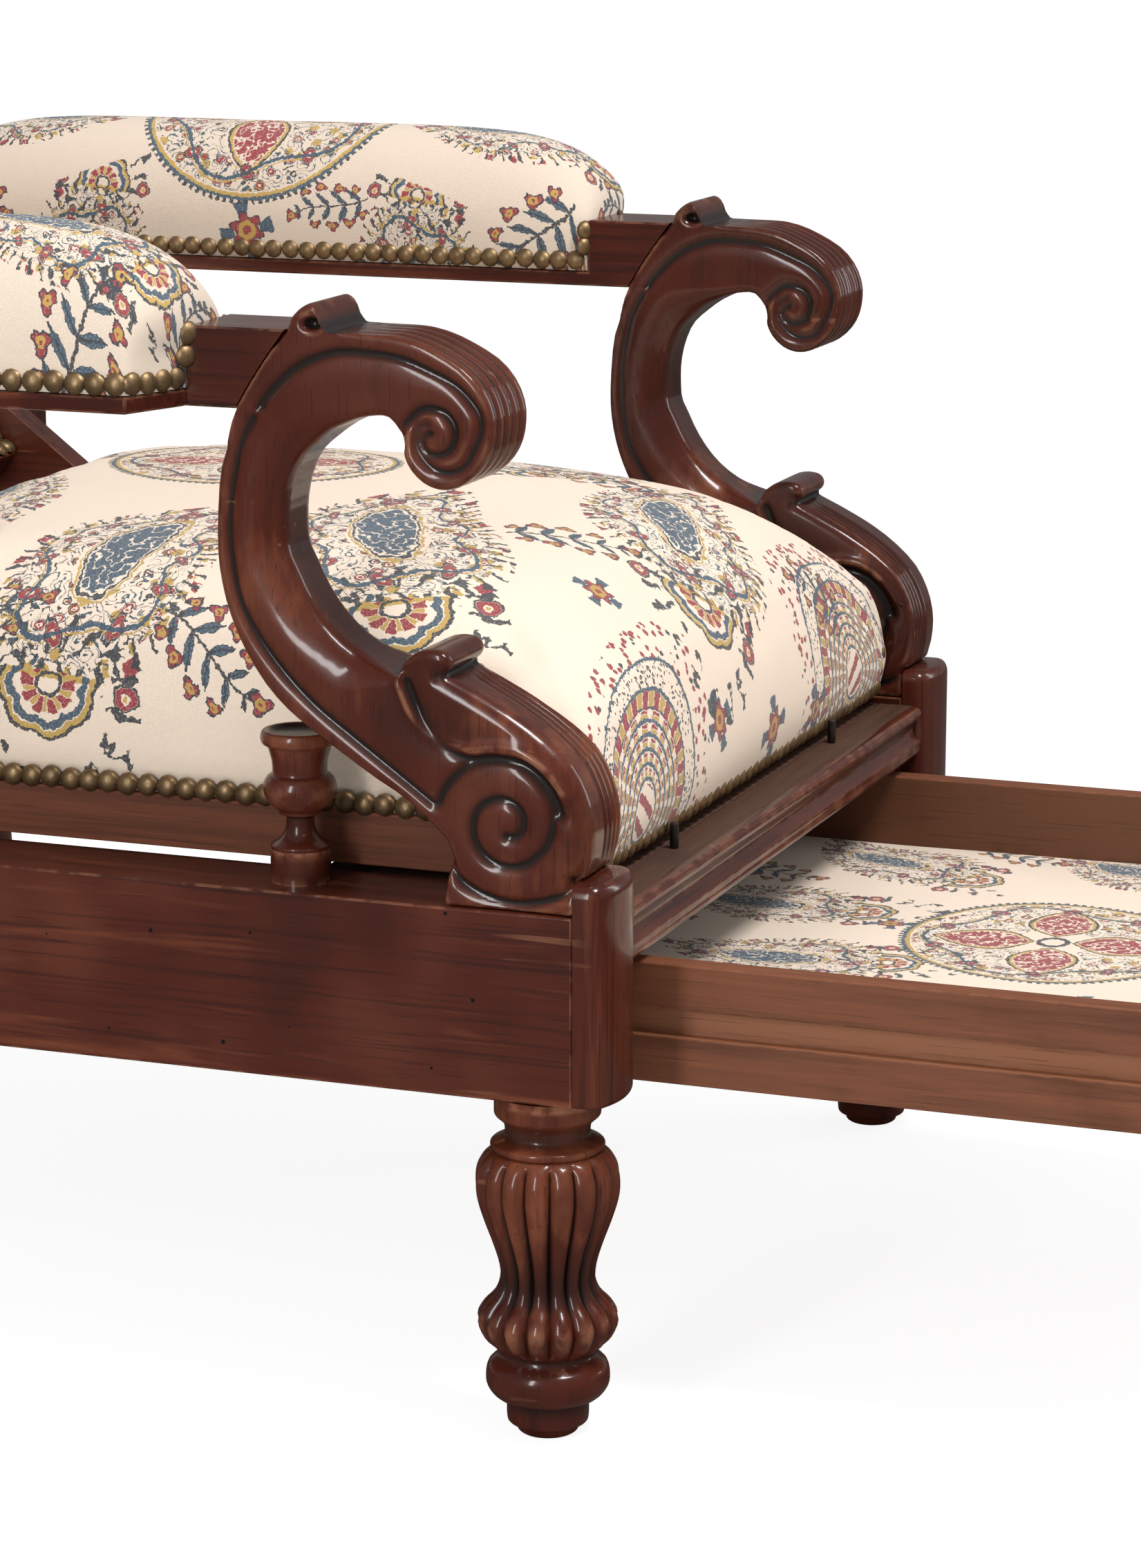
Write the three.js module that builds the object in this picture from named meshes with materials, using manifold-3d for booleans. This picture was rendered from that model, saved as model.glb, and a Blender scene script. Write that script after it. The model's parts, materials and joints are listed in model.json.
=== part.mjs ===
import * as THREE from 'three';
import { mergeVertices } from 'three/addons/utils/BufferGeometryUtils.js';
import Module from 'manifold-3d';

// A mahogany reclining armchair of about 1830, shown drawn out: the footrest drawer is pulled
// forward, the seat stands against its two stop pins and the back lies down on its rest bar.
// Millimetres, +Z up, the sitter faces -Y, and the floor is at Z 0.

const wasm = await Module();
wasm.setup();

// Driving dimensions of the frame
const frameWidth = 700;
const frameDepth = 800;
const railThickness = 60;
const legHeight = 202;
const railHeight = 109;
const gap = 0.3;
const weldShare = 0.001;
const overrun = 4;

// Front corner posts
const postDepth = 21;
const postBow = 7.5;
const capRise = 19;
const capRound = 9;
const postToeRound = 7;

// Legs
const legRadius = 41.5;
const rearLegRadius = 31;
const frontLegSetback = 47;
const rearLegSetback = 43;

// Moulded front rail, the shelf that the seat slides on, and the bearer at the rear
const frontRailHeight = 33.5;
const frontRailDepth = 31;
const frontRailSetback = 6.5;
const shelfDrop = 4.5;
const shelfThickness = 12.5;
const shelfRear = 205;
const bearerDepth = 190;
const rearRailThickness = 25;
const rearRailSetback = 60;

// Scrolled arm supports, arms and their pads
const scrollThickness = 57;
const armRise = 272;
const armHeight = 45;
const armTopShare = 0.9491;
const armRearOverhang = 20;
const armBoardOverhang = 45;
const armBoardThickness = 9.6;
const armClip = 16;
const padFront = 250;
const padHeight = 94;
const nailBandHeight = 12;
const nailBandThickness = 3;

// Rear posts, the bar that the back lies on and the bolts that hold it upright
const rearPostDepth = 55;
const rearPostThickness = 57;
const rearPostSetback = 105;
const postChamfer = 6;
const restBarRadius = 12;
const boltRadius = 6;
const boltDrop = 38;
const boltTravel = 20;
const boltKnobRadius = 13;
const boltKnobLength = 19;

// Turned sockets and stop pins
const socketHeight = 88;
const socketRadius = 21.5;
const socketSetback = 197;
const stopPinRadius = 2.8;
const stopPinHeight = 15;
const stopPinInset = 134;
const stopPinSetback = 29.4;

// Seat
const seatSideClearance = 5;
const seatFront = 38;
const seatTravel = 110;
const seatRearClearance = 20;
const seatRailHeight = 31;
const seatLift = 7;
const seatRailThickness = 50;
const seatCover = 8;
const seatCrown = 143;
const seatCrownPeakShare = 0.64;
const webWidth = 55;
const webThickness = 2;
const webRows = 5;
const webColumns = 4;
const glideLength = 36;
const glideWidth = 40;
const glideInset = 45;

// Reclining back
const reclineAngle = 37;
const hingeInset = 38;
const notchDepth = 35;
const hingePinRadius = 6;
const hingePinHead = 9;
const hingePinHeadThickness = 2.5;
const stileThickness = 23;
const stileDepth = 56;
const stileFootRadius = 20;
const stileTaperLength = 80;
const stileLength = 715;
const stileClearance = 8.5;
const backRailStart = 192;
const backRailHeight = 46;
const crestHeight = 92;
const backRecess = 22;
const backCrown = 52;
const coverThickness = 4;

// Footrest drawer
const footrestSideClearance = 27.25;
const footrestTravel = 430;
const footrestRearClearance = 40;
const footrestHeadroom = 7;
const footrestSideHeight = 71;
const footrestSideThickness = 15.3;
const footrestFrontThickness = 18;
const footrestFrontGap = 4;
const grooveRise = 28.3;
const grooveWidth = 15.9;
const grooveDepth = 7;
const runnerPlay = 0.6;
const footrestBoardRise = 8;
const footrestBoardThickness = 8;
const footrestPadThickness = 12;
const footrestPadCrown = 4;
const footrestBackDrop = 5;
const knobRadius = 16;
const knobLength = 24;
const knobInset = 140;
const knobRise = 36;

const halfWidth = frameWidth / 2;
const innerHalf = halfWidth - railThickness;
const railBottom = legHeight;
const railTop = railBottom + railHeight;
const shelfTop = railTop - shelfDrop;
const seatBottom = shelfTop + seatLift;
const seatTop = seatBottom + seatRailHeight;
const rearPostFront = frameDepth - rearPostSetback;
const rearPostCentre = rearPostFront + rearPostDepth / 2;
const armBottom = railTop + armRise;
const armTop = armBottom + armHeight;
const armRear = rearPostFront + rearPostDepth + armRearOverhang;
const armOuter = innerHalf + scrollThickness;
const boardOuter = armOuter + armBoardOverhang;
const scrollHeight = (armTop - railTop) / armTopShare;
const padBase = armBottom + armBoardThickness + gap;
const boltHeight = armBottom - boltDrop;
const seatHalf = innerHalf - seatSideClearance;
const seatRear = rearPostFront - seatTravel - seatRearClearance;
const hingeSetback = seatRear - hingeInset;
const hingeHeight = seatBottom + seatRailHeight / 2;
const stileNotchFront = hingeSetback - notchDepth;
const stileOuter = innerHalf - stileClearance;
const stileInner = stileOuter - stileThickness;
const seatTailHalf = stileInner - stileClearance / 2;
const recline = THREE.MathUtils.degToRad(reclineAngle);
const footrestHalf = innerHalf - footrestSideClearance;
const footrestLength = frameDepth - rearRailSetback - footrestRearClearance;
const footrestTop = shelfTop - frontRailHeight - footrestHeadroom;
const footrestBottom = footrestTop - footrestSideHeight;
const grooveBottom = footrestBottom + grooveRise;
const grooveTop = grooveBottom + grooveWidth;

const sides = [{ name: 'right', sign: -1 }, { name: 'left', sign: 1 }];

const finish = (color, roughness, metalness = 0) =>
  new THREE.MeshStandardMaterial({ color, roughness, metalness });
const mahogany = finish(0x5a2418, 0.32);
const drawerWood = finish(0x6e4a36, 0.6);
const beech = finish(0x9c7650, 0.7);
const fabric = finish(0xe3d0b4, 0.9);
const webbing = finish(0xa98d66, 0.95);
const brass = finish(0x7d6236, 0.4, 0.9);
const iron = finish(0x3a332e, 0.5, 0.8);

const chair = new THREE.Group();
const back = new THREE.Group();
back.position.set(0, hingeSetback, hingeHeight);
back.rotation.x = recline - Math.PI / 2;
chair.add(back);

function piece(name, geometry, material, group = chair) {
  const mesh = new THREE.Mesh(geometry, material);
  mesh.name = name;
  group.add(mesh);
  return mesh;
}

function toManifold(geometry) {
  const bare = geometry.clone();
  for (const name of Object.keys(bare.attributes)) if (name !== 'position') bare.deleteAttribute(name);
  const merged = mergeVertices(bare, gap * weldShare);
  return new wasm.Manifold(new wasm.Mesh({
    numProp: 3,
    vertProperties: new Float32Array(merged.attributes.position.array),
    triVerts: new Uint32Array(merged.index.array),
  }));
}

function toGeometry(manifold) {
  const { vertProperties, triVerts, numProp } = manifold.getMesh();
  const geometry = new THREE.BufferGeometry();
  const position = new Float32Array(vertProperties.length / numProp * 3);
  for (let i = 0; i < position.length / 3; i++) {
    for (let axis = 0; axis < 3; axis++) position[i * 3 + axis] = vertProperties[i * numProp + axis];
  }
  geometry.setAttribute('position', new THREE.BufferAttribute(position, 3));
  geometry.setIndex(new THREE.BufferAttribute(new Uint32Array(triVerts), 1));
  return geometry;
}

const cut = (whole, ...tools) =>
  toGeometry(tools.reduce((left, tool) => left.subtract(toManifold(tool)), toManifold(whole)));
const join = (first, ...others) =>
  toGeometry(others.reduce((sum, other) => sum.add(toManifold(other)), toManifold(first)));
const common = (first, second) => toGeometry(toManifold(first).intersect(toManifold(second)));

const shapeOf = (points) => new THREE.Shape(points.map(([a, b]) => new THREE.Vector2(a, b)));

function extrudeAlongZ(shape, from, to, curveSegments = 4) {
  const geometry = new THREE.ExtrudeGeometry(shape, { depth: to - from, bevelEnabled: false, curveSegments });
  return geometry.translate(0, 0, from);
}

// A section drawn in Y and Z, run along X
function extrudeAlongX(shape, from, to, curveSegments = 4) {
  const geometry = extrudeAlongZ(shape, 0, to - from, curveSegments);
  return geometry.applyMatrix4(new THREE.Matrix4().set(0, 0, 1, from, 1, 0, 0, 0, 0, 1, 0, 0, 0, 0, 0, 1));
}

// A section drawn in X and Z, run along Y
function extrudeAlongY(shape, from, to, curveSegments = 4) {
  const geometry = extrudeAlongZ(shape, 0, to - from, curveSegments);
  return geometry.applyMatrix4(new THREE.Matrix4().set(1, 0, 0, 0, 0, 0, -1, to, 0, 1, 0, 0, 0, 0, 0, 1));
}

function block(x0, x1, y0, y1, z0, z1) {
  const [left, right] = x0 < x1 ? [x0, x1] : [x1, x0];
  const geometry = new THREE.BoxGeometry(right - left, y1 - y0, z1 - z0);
  return geometry.translate((left + right) / 2, (y0 + y1) / 2, (z0 + z1) / 2);
}

// A turning about Z from a profile of shares of its radius and height
function turned(profileShares, radius, height, segments = 20) {
  const points = profileShares.map(([r, z]) => new THREE.Vector2(r * radius, z * height));
  return new THREE.LatheGeometry(points, segments).rotateX(Math.PI / 2);
}

const plainShares = [[0, 0], [1, 0], [1, 1], [0, 1]];

function roundBar(radius, from, to, y, z, segments = 16) {
  return turned(plainShares, radius, to - from, segments).rotateY(Math.PI / 2).translate(from, y, z);
}

// The power and swell of each pad's rounding to its sides and ends: more power fills the corner out,
// and more swell makes the edge less steep
const seatCrownShares = { side: [2.1, 0.19], front: [2.2, 0.22], rear: [5.9, 0.17] };
const armCrownShares = { side: [2.6, 0.34], front: [7, 0.3], rear: [7, 0.3] };
const backCrownShares = { side: [2.6, 0.3], front: [2.6, 0.3], rear: [2.6, 0.3] };
const footrestCrownShares = { side: [4, 0.5], front: [6, 0.5], rear: [6, 0.5] };

// A stuffed pad on a flat base: full along its middle and rounded down to its four edges
function crownedPad({ x0, x1, y0, y1, base, rise, peakShare = 0.5, crown, columns, rows }) {
  const { side, front, rear } = crown;
  const halfTurn = Math.PI / 2;
  const spread = (i, n) => Math.sin((2 * i / n - 1) * halfTurn);
  const fullness = (t, [power, swell]) => (1 - Math.abs(t) ** power) ** swell;
  const middle = y0 + (y1 - y0) * peakShare;
  const position = [];
  const index = [];
  for (let j = 0; j <= rows; j++) {
    const t = j === 0 ? -1 : j === rows ? 1 : spread(j, rows);
    const y = t < 0 ? middle + t * (middle - y0) : middle + t * (y1 - middle);
    for (let i = 0; i <= columns; i++) {
      const s = i === 0 ? -1 : i === columns ? 1 : spread(i, columns);
      const x = (x0 + x1) / 2 + s * (x1 - x0) / 2;
      position.push(x, y, base + rise * fullness(s, side) * fullness(t, t < 0 ? front : rear));
    }
  }
  const at = (i, j) => j * (columns + 1) + i;
  for (let j = 0; j < rows; j++) {
    for (let i = 0; i < columns; i++) {
      index.push(at(i, j), at(i + 1, j), at(i + 1, j + 1), at(i, j), at(i + 1, j + 1), at(i, j + 1));
    }
  }
  const rim = [];
  for (let i = 0; i < columns; i++) rim.push(at(i, 0));
  for (let j = 0; j < rows; j++) rim.push(at(columns, j));
  for (let i = columns; i > 0; i--) rim.push(at(i, rows));
  for (let j = rows; j > 0; j--) rim.push(at(0, j));
  const centre = position.length / 3;
  position.push((x0 + x1) / 2, (y0 + y1) / 2, base);
  rim.forEach((corner, k) => index.push(centre, rim[(k + 1) % rim.length], corner));
  const geometry = new THREE.BufferGeometry();
  geometry.setAttribute('position', new THREE.Float32BufferAttribute(position, 3));
  geometry.setIndex(index);
  return geometry;
}

// Fixed frame: rails, posts, legs

function sideRail(sign) {
  return block(sign * innerHalf, sign * halfWidth, postDepth + gap, frameDepth, railBottom, railTop);
}

function frontPost(sign) {
  const top = railTop + capRise;
  const section = new THREE.Shape();
  section.moveTo(postDepth, railBottom);
  section.lineTo(postDepth, top);
  section.lineTo(capRound, top);
  section.absarc(capRound, top - capRound, capRound, Math.PI / 2, Math.PI, false);
  section.lineTo(0, railBottom + postToeRound);
  section.absarc(postToeRound, railBottom + postToeRound, postToeRound, Math.PI, 1.5 * Math.PI, false);
  const middle = sign * (innerHalf + halfWidth) / 2;
  const bowRadius = ((railThickness / 2) ** 2 + postBow ** 2) / (2 * postBow);
  const spread = Math.asin(railThickness / 2 / bowRadius);
  const plan = new THREE.Shape();
  plan.moveTo(middle + railThickness / 2, postDepth);
  plan.lineTo(middle - railThickness / 2, postDepth);
  plan.absarc(middle, bowRadius, bowRadius, -Math.PI / 2 - spread, -Math.PI / 2 + spread, false);
  const [near, far] = [middle - railThickness / 2 - overrun, middle + railThickness / 2 + overrun];
  return common(extrudeAlongX(section, near, far, 5), extrudeAlongZ(plan, railBottom, top + overrun, 8));
}

// Turned and reeded: ball foot, neck, flare, waist, swelling, rings and collar
const frontLegShares = [
  [0, 0], [0.4, 0], [0.42, 0.03], [0.5, 0.04], [0.56, 0.1], [0.6, 0.115], [0.83, 0.145], [0.855, 0.17],
  [0.82, 0.2], [0.68, 0.225], [0.65, 0.245], [0.86, 0.285], [0.98, 0.335], [0.9, 0.375], [0.7, 0.41],
  [0.66, 0.44], [0.72, 0.51], [0.88, 0.6], [0.99, 0.69], [0.96, 0.755], [0.82, 0.83], [0.78, 0.85],
  [0.6, 0.87], [0.585, 0.895], [0.72, 0.92], [0.73, 1], [0, 1],
];
const rearLegShares = [
  [0, 0], [0.52, 0], [0.56, 0.05], [0.74, 0.09], [0.78, 0.14], [0.62, 0.19], [0.6, 0.24], [0.8, 0.36],
  [0.97, 0.55], [1, 0.68], [0.92, 0.8], [0.74, 0.86], [0.72, 0.89], [0.94, 0.92], [0.96, 1], [0, 1],
];

function leg(sign, shares, radius, y, segments) {
  return turned(shares, radius, legHeight - gap, segments).translate(sign * (halfWidth - railThickness / 2), y, 0);
}

// Nosing, quirk, hollow and two reeds down the front of the rail, as shares of depth and height
const frontRailShares = [
  [1, 0], [1, 1], [0.22, 1], [0.06, 0.96], [0, 0.87], [0.03, 0.76], [0.1, 0.7], [0.17, 0.62], [0.2, 0.5],
  [0.14, 0.38], [0.06, 0.32], [0.02, 0.25], [0.06, 0.18], [0.02, 0.1], [0.07, 0],
];

function frontRail() {
  const section = shapeOf(frontRailShares.map(([depth, height]) =>
    [frontRailSetback + depth * frontRailDepth, shelfTop - frontRailHeight + height * frontRailHeight]));
  return extrudeAlongX(section, gap - innerHalf, innerHalf - gap);
}

function seatShelf() {
  const front = frontRailSetback + frontRailDepth + gap;
  const half = innerHalf - gap;
  return block(-half, half, front, shelfRear, shelfTop - shelfThickness, shelfTop);
}

function rearBearer() {
  const half = innerHalf - gap;
  return block(-half, half, rearPostFront - bearerDepth, rearPostFront, shelfTop - shelfThickness, shelfTop);
}

function rearRail() {
  const half = innerHalf - gap;
  const front = frameDepth - rearRailSetback;
  return block(-half, half, front, front + rearRailThickness, railBottom, railTop);
}

// The scrolled support, as shares of its height, measured from the post's face and the rail's top
const scrollBackShares = [
  [0.284, 0.075], [0.29, 0.1], [0.308, 0.126], [0.338, 0.153], [0.374, 0.18], [0.422, 0.207], [0.479, 0.243],
  [0.527, 0.275], [0.575, 0.308], [0.617, 0.35], [0.653, 0.404], [0.677, 0.455], [0.692, 0.503],
  [0.701, 0.557], [0.702, 0.617], [0.695, 0.704], [0.68, 0.752], [0.661, 0.814], [0.613, 0.89], [0.569, 0.949],
];
const topCurlShares = [
  [0.563, 0.967], [0.545, 0.985], [0.518, 0.997], [0.49, 0.999], [0.473, 0.991], [0.464, 0.973], [0.464, 0.955],
];
const upperScrollShares = [
  [0.434, 0.951], [0.389, 0.948], [0.341, 0.939], [0.296, 0.921], [0.251, 0.895], [0.222, 0.862],
  [0.207, 0.825], [0.206, 0.79], [0.214, 0.756], [0.233, 0.727], [0.263, 0.704], [0.296, 0.696],
  [0.326, 0.704], [0.35, 0.724], [0.365, 0.751], [0.37, 0.784], [0.389, 0.811], [0.416, 0.813],
  [0.446, 0.807], [0.473, 0.796], [0.503, 0.781], [0.533, 0.757], [0.56, 0.731], [0.578, 0.692],
  [0.587, 0.65], [0.588, 0.61], [0.585, 0.575], [0.572, 0.548], [0.551, 0.506], [0.521, 0.464],
  [0.485, 0.431], [0.443, 0.406], [0.401, 0.388], [0.377, 0.381],
];
const lowerCurlShares = [
  [0.365, 0.41], [0.344, 0.425], [0.32, 0.431], [0.296, 0.428], [0.283, 0.416], [0.284, 0.401], [0.299, 0.389],
];
const lowerScrollShares = [
  [0.246, 0.365], [0.21, 0.347], [0.177, 0.329], [0.126, 0.296], [0.078, 0.251], [0.051, 0.201],
  [0.039, 0.15], [0.041, 0.102], [0.051, 0.063],
];
const scrollFootShare = 0.293;
const scrollToeShare = 0.037;

function scrollShape() {
  const at = ([y, z]) => new THREE.Vector2(y * scrollHeight, railTop + z * scrollHeight);
  const front = postDepth + gap;
  const shape = new THREE.Shape();
  shape.moveTo(front, railTop + gap);
  shape.lineTo(scrollFootShare * scrollHeight, railTop + gap);
  shape.lineTo(scrollFootShare * scrollHeight, railTop + scrollToeShare * scrollHeight);
  for (const shares of [scrollBackShares, topCurlShares, upperScrollShares, lowerCurlShares, lowerScrollShares]) {
    shape.lineTo(...at(shares[0]).toArray());
    shape.splineThru(shares.slice(1).map(at));
  }
  shape.lineTo(front, railTop + capRise + gap);
  return shape;
}

const scrollSpan = (sign) => (sign < 0 ? [-armOuter, -innerHalf] : [innerHalf, armOuter]);

function armSupport(sign) {
  return extrudeAlongX(scrollShape(), ...scrollSpan(sign), 2);
}

function armRail(sign) {
  const [near, far] = scrollSpan(sign);
  const start = scrollHeight / 2;
  const section = shapeOf([[start, armBottom], [armRear, armBottom], [armRear, armBottom + armBoardThickness],
    [padFront, armBottom + armBoardThickness], [padFront, armTop], [start, armTop]]);
  const tool = () => extrudeAlongX(scrollShape(), near - overrun, far + overrun, 2);
  const whole = toManifold(extrudeAlongX(section, near, far));
  const trimmed = whole.subtract(toManifold(tool().translate(0, gap, gap))).subtract(toManifold(tool()));
  const pieces = trimmed.decompose();
  return toGeometry(pieces.reduce((a, b) => (a.volume() > b.volume() ? a : b)));
}

function armBoard(sign) {
  const inner = armOuter + gap;
  const plan = shapeOf([[sign * inner, padFront], [sign * boardOuter, padFront + armClip],
    [sign * boardOuter, armRear], [sign * inner, armRear]]);
  return extrudeAlongZ(plan, armBottom, armBottom + armBoardThickness);
}

function armPad(sign) {
  const inset = nailBandThickness + gap;
  const base = padBase;
  const [x0, x1] = sign < 0 ? [-boardOuter, -innerHalf] : [innerHalf, boardOuter];
  const pad = crownedPad({
    x0: x0 + inset, x1: x1 - inset, y0: padFront + gap, y1: armRear - inset, base,
    rise: padHeight, crown: armCrownShares, columns: 12, rows: 20,
  });
  const clipEnd = boardOuter - armOuter;
  const corner = shapeOf([[sign * armOuter, padFront - overrun], [sign * (boardOuter + overrun), padFront - overrun],
    [sign * (boardOuter + overrun), padFront + armClip * (1 + overrun / clipEnd) + inset],
    [sign * armOuter, padFront + inset]]);
  return cut(pad, extrudeAlongZ(corner, armBottom, padBase + padHeight + overrun));
}

// The band that carries the dome nails round an arm, open across the front end
function armNails(sign) {
  const t = nailBandThickness;
  const [inner, outer] = [innerHalf, boardOuter];
  const outline = [
    [inner, padFront + gap], [inner, armRear], [outer, armRear], [outer, padFront + armClip + gap],
    [armOuter + gap, padFront + gap],
  ];
  const inside = [
    [armOuter + gap, padFront + gap + t], [outer - t, padFront + armClip + gap + t / 2], [outer - t, armRear - t],
    [inner + t, armRear - t], [inner + t, padFront + gap],
  ];
  const plan = shapeOf([...outline, ...inside].map(([x, y]) => [sign * x, y]));
  return extrudeAlongZ(plan, padBase, padBase + nailBandHeight);
}

// Turned socket on the side rail: drum, ogee, neck, bulb, cup and dished rim
const socketShares = [
  [0, 0], [0.74, 0], [0.75, 0.2], [0.7, 0.22], [0.72, 0.25], [0.55, 0.3], [0.36, 0.38], [0.35, 0.42],
  [0.52, 0.45], [0.84, 0.54], [0.91, 0.62], [0.86, 0.68], [0.7, 0.72], [0.7, 0.82], [0.78, 0.88], [0.97, 0.91],
  [1, 0.95], [0.94, 1], [0.66, 1], [0.4, 0.955], [0, 0.95],
];

function socket(sign) {
  return turned(socketShares, socketRadius, socketHeight)
    .translate(sign * (halfWidth - railThickness / 2), socketSetback, railTop + gap);
}

function stopPin(sign) {
  return turned(plainShares, stopPinRadius, stopPinHeight, 10)
    .translate(sign * (innerHalf - stopPinInset), stopPinSetback, shelfTop + gap);
}

// Rear posts, rest bar and bolts

function rearPost(sign) {
  const [x0, x1] = scrollSpan(sign);
  const outer = sign < 0 ? x1 - rearPostThickness : x0 + rearPostThickness;
  const [a, b] = sign < 0 ? [outer, x1] : [x0, outer];
  const [c, d] = [rearPostFront, rearPostFront + rearPostDepth];
  const k = postChamfer;
  const plan = shapeOf([[a + k, c], [b - k, c], [b, c + k], [b, d - k], [b - k, d], [a + k, d], [a, d - k], [a, c + k]]);
  const shaft = extrudeAlongZ(plan, railTop + gap, armBottom - gap);
  return cut(shaft, roundBar(boltRadius + gap, a - overrun, b + overrun, rearPostCentre, boltHeight));
}

// Distance along Y from the hinge to the middle of the rest bar, below the reclined stile
const restBarNormal = stileDepth / 2 + restBarRadius + gap;
const restBarHeight = hingeHeight
  + ((rearPostCentre - hingeSetback) - restBarNormal / Math.sin(recline)) * Math.tan(recline);

function restBar() {
  return roundBar(restBarRadius, gap - innerHalf, innerHalf - gap, rearPostCentre, restBarHeight);
}

const boltKnobShares = [[0.7, 0], [1, 0.35], [1, 0.65], [0.6, 1], [0, 1]];

// Shank, then a turned knob that stands off the post by its travel
function catchBolt(sign) {
  const shank = rearPostThickness + boltTravel + gap;
  const knob = boltKnobShares.map(([r, z]) => [r * boltKnobRadius, shank + z * boltKnobLength]);
  const points = [[0, 0], [boltRadius, 0], [boltRadius, shank], ...knob];
  const lathe = new THREE.LatheGeometry(points.map(([r, z]) => new THREE.Vector2(r, z)), 16).rotateX(Math.PI / 2);
  return lathe.rotateY(sign * Math.PI / 2).translate(sign * innerHalf, rearPostCentre, boltHeight);
}

// Seat frame and cushion

function seatSideRail(sign) {
  const inner = seatHalf - seatRailThickness;
  const plan = shapeOf([[sign * inner, seatFront + seatCover], [sign * seatHalf, seatFront + seatCover],
    [sign * seatHalf, stileNotchFront], [sign * seatTailHalf, stileNotchFront],
    [sign * seatTailHalf, seatRear], [sign * inner, seatRear]]);
  const rail = extrudeAlongZ(plan, seatBottom, seatTop);
  const [near, far] = sign < 0 ? [-seatHalf, -inner] : [inner, seatHalf];
  return cut(rail, roundBar(hingePinRadius + gap, near - overrun, far + overrun, hingeSetback, hingeHeight));
}

// The rear one is deeper than the side rails, and slides on the bearer
function seatCrossRail(from, to, bottom) {
  const half = seatHalf - seatRailThickness - gap;
  return block(-half, half, from, to, bottom, seatTop);
}

function seatGlide(sign) {
  const front = seatFront + seatCover;
  const outer = seatHalf - glideInset;
  return block(sign * (outer - glideWidth), sign * outer, front, front + glideLength,
    shelfTop + gap, seatBottom - gap);
}

// Crossed webs, one body with square gaps between them
function webs(x0, x1, y0, y1, columns, rows) {
  const pitchX = (x1 - x0 - webWidth) / (columns - 1);
  const pitchY = (y1 - y0 - webWidth) / (rows - 1);
  const strips = [];
  for (let i = 0; i < columns; i++) {
    strips.push(block(x0 + i * pitchX, x0 + i * pitchX + webWidth, y0, y1, 0, webThickness));
  }
  for (let j = 0; j < rows; j++) {
    strips.push(block(x0, x1, y0 + j * pitchY, y0 + j * pitchY + webWidth, 0, webThickness));
  }
  return join(...strips);
}

function seatWebbing() {
  const half = seatHalf - seatRailThickness - gap;
  const front = seatFront + seatCover + seatRailThickness + gap;
  const rear = seatRear - seatRailThickness - gap;
  return webs(-half, half, front, rear, webColumns, webRows).translate(0, 0, seatTop - 2 * webThickness);
}

function seatCushion() {
  const base = seatTop + gap;
  const half = seatHalf - nailBandThickness - gap;
  const coverRear = seatFront + seatCover - gap;
  const seamHalf = half - 2 * seatCover;
  const dome = crownedPad({
    x0: -half, x1: half, y0: seatFront - seatCover, y1: seatRear, base, rise: seatCrown,
    peakShare: seatCrownPeakShare, crown: seatCrownShares, columns: 20, rows: 24,
  });
  const cover = block(-seatHalf, seatHalf, seatFront, coverRear, seatBottom, seatTop);
  const seam = block(-seamHalf, seamHalf, seatFront, coverRear, seatBottom, base + seatCover);
  const notch = (sign) => block(sign * seatTailHalf, sign * (seatHalf + overrun), stileNotchFront,
    seatRear + overrun, base - overrun, base + 2 * seatCrown);
  return cut(join(dome, cover, seam), notch(-1), notch(1));
}

// The band of dome nails: along both side rails, down the front corners and across the front
function seatNails() {
  const front = seatFront - gap;
  const face = front - nailBandThickness;
  const inner = seatHalf - nailBandThickness;
  const top = seatTop + gap + nailBandHeight;
  const parts = [block(-seatHalf, seatHalf, face, front, seatBottom, seatBottom + nailBandHeight)];
  for (const { sign } of sides) {
    parts.push(block(sign * (seatHalf - nailBandHeight), sign * seatHalf, face, front, seatBottom, seatTop));
    parts.push(block(sign * inner, sign * seatHalf, face, front, seatBottom, top));
    parts.push(block(sign * inner, sign * seatHalf, face, stileNotchFront, seatTop + gap, top));
  }
  return join(...parts);
}

// Back, in its own frame: Z runs up the stiles from the hinge and -Y faces the sitter

function stile(sign) {
  const half = stileDepth / 2;
  const shape = new THREE.Shape();
  shape.absarc(0, 0, stileFootRadius, Math.PI, 2 * Math.PI, false);
  shape.lineTo(half, stileTaperLength);
  shape.lineTo(half, stileLength);
  shape.lineTo(-half, stileLength);
  shape.lineTo(-half, stileTaperLength);
  shape.lineTo(-stileFootRadius, 0);
  const bore = new THREE.Path();
  bore.absarc(0, 0, hingePinRadius + gap, 0, 2 * Math.PI, true);
  shape.holes.push(bore);
  const span = sign < 0 ? [-stileOuter, -stileInner] : [stileInner, stileOuter];
  return extrudeAlongX(shape, ...span, 8);
}

function hingePin(sign) {
  const length = stileOuter - (seatHalf - seatRailThickness);
  const head = length + hingePinHeadThickness;
  const points = [[0, 0], [hingePinRadius, 0], [hingePinRadius, length], [hingePinHead, length + gap],
    [hingePinHead, head], [0, head]];
  const pin = new THREE.LatheGeometry(points.map(([r, z]) => new THREE.Vector2(r, z)), 16);
  return pin.rotateX(Math.PI / 2).rotateY(sign * Math.PI / 2).translate(sign * (stileOuter - length), hingeSetback, hingeHeight);
}

// The plane that the webs and the back cushion start from, set in behind the stiles' front edges
const backPlane = backRecess - stileDepth / 2;

function backLowerRail() {
  const half = stileInner - gap;
  const rear = stileDepth / 2 - coverThickness - gap;
  return block(-half, half, backPlane, rear, backRailStart, backRailStart + backRailHeight);
}

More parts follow.
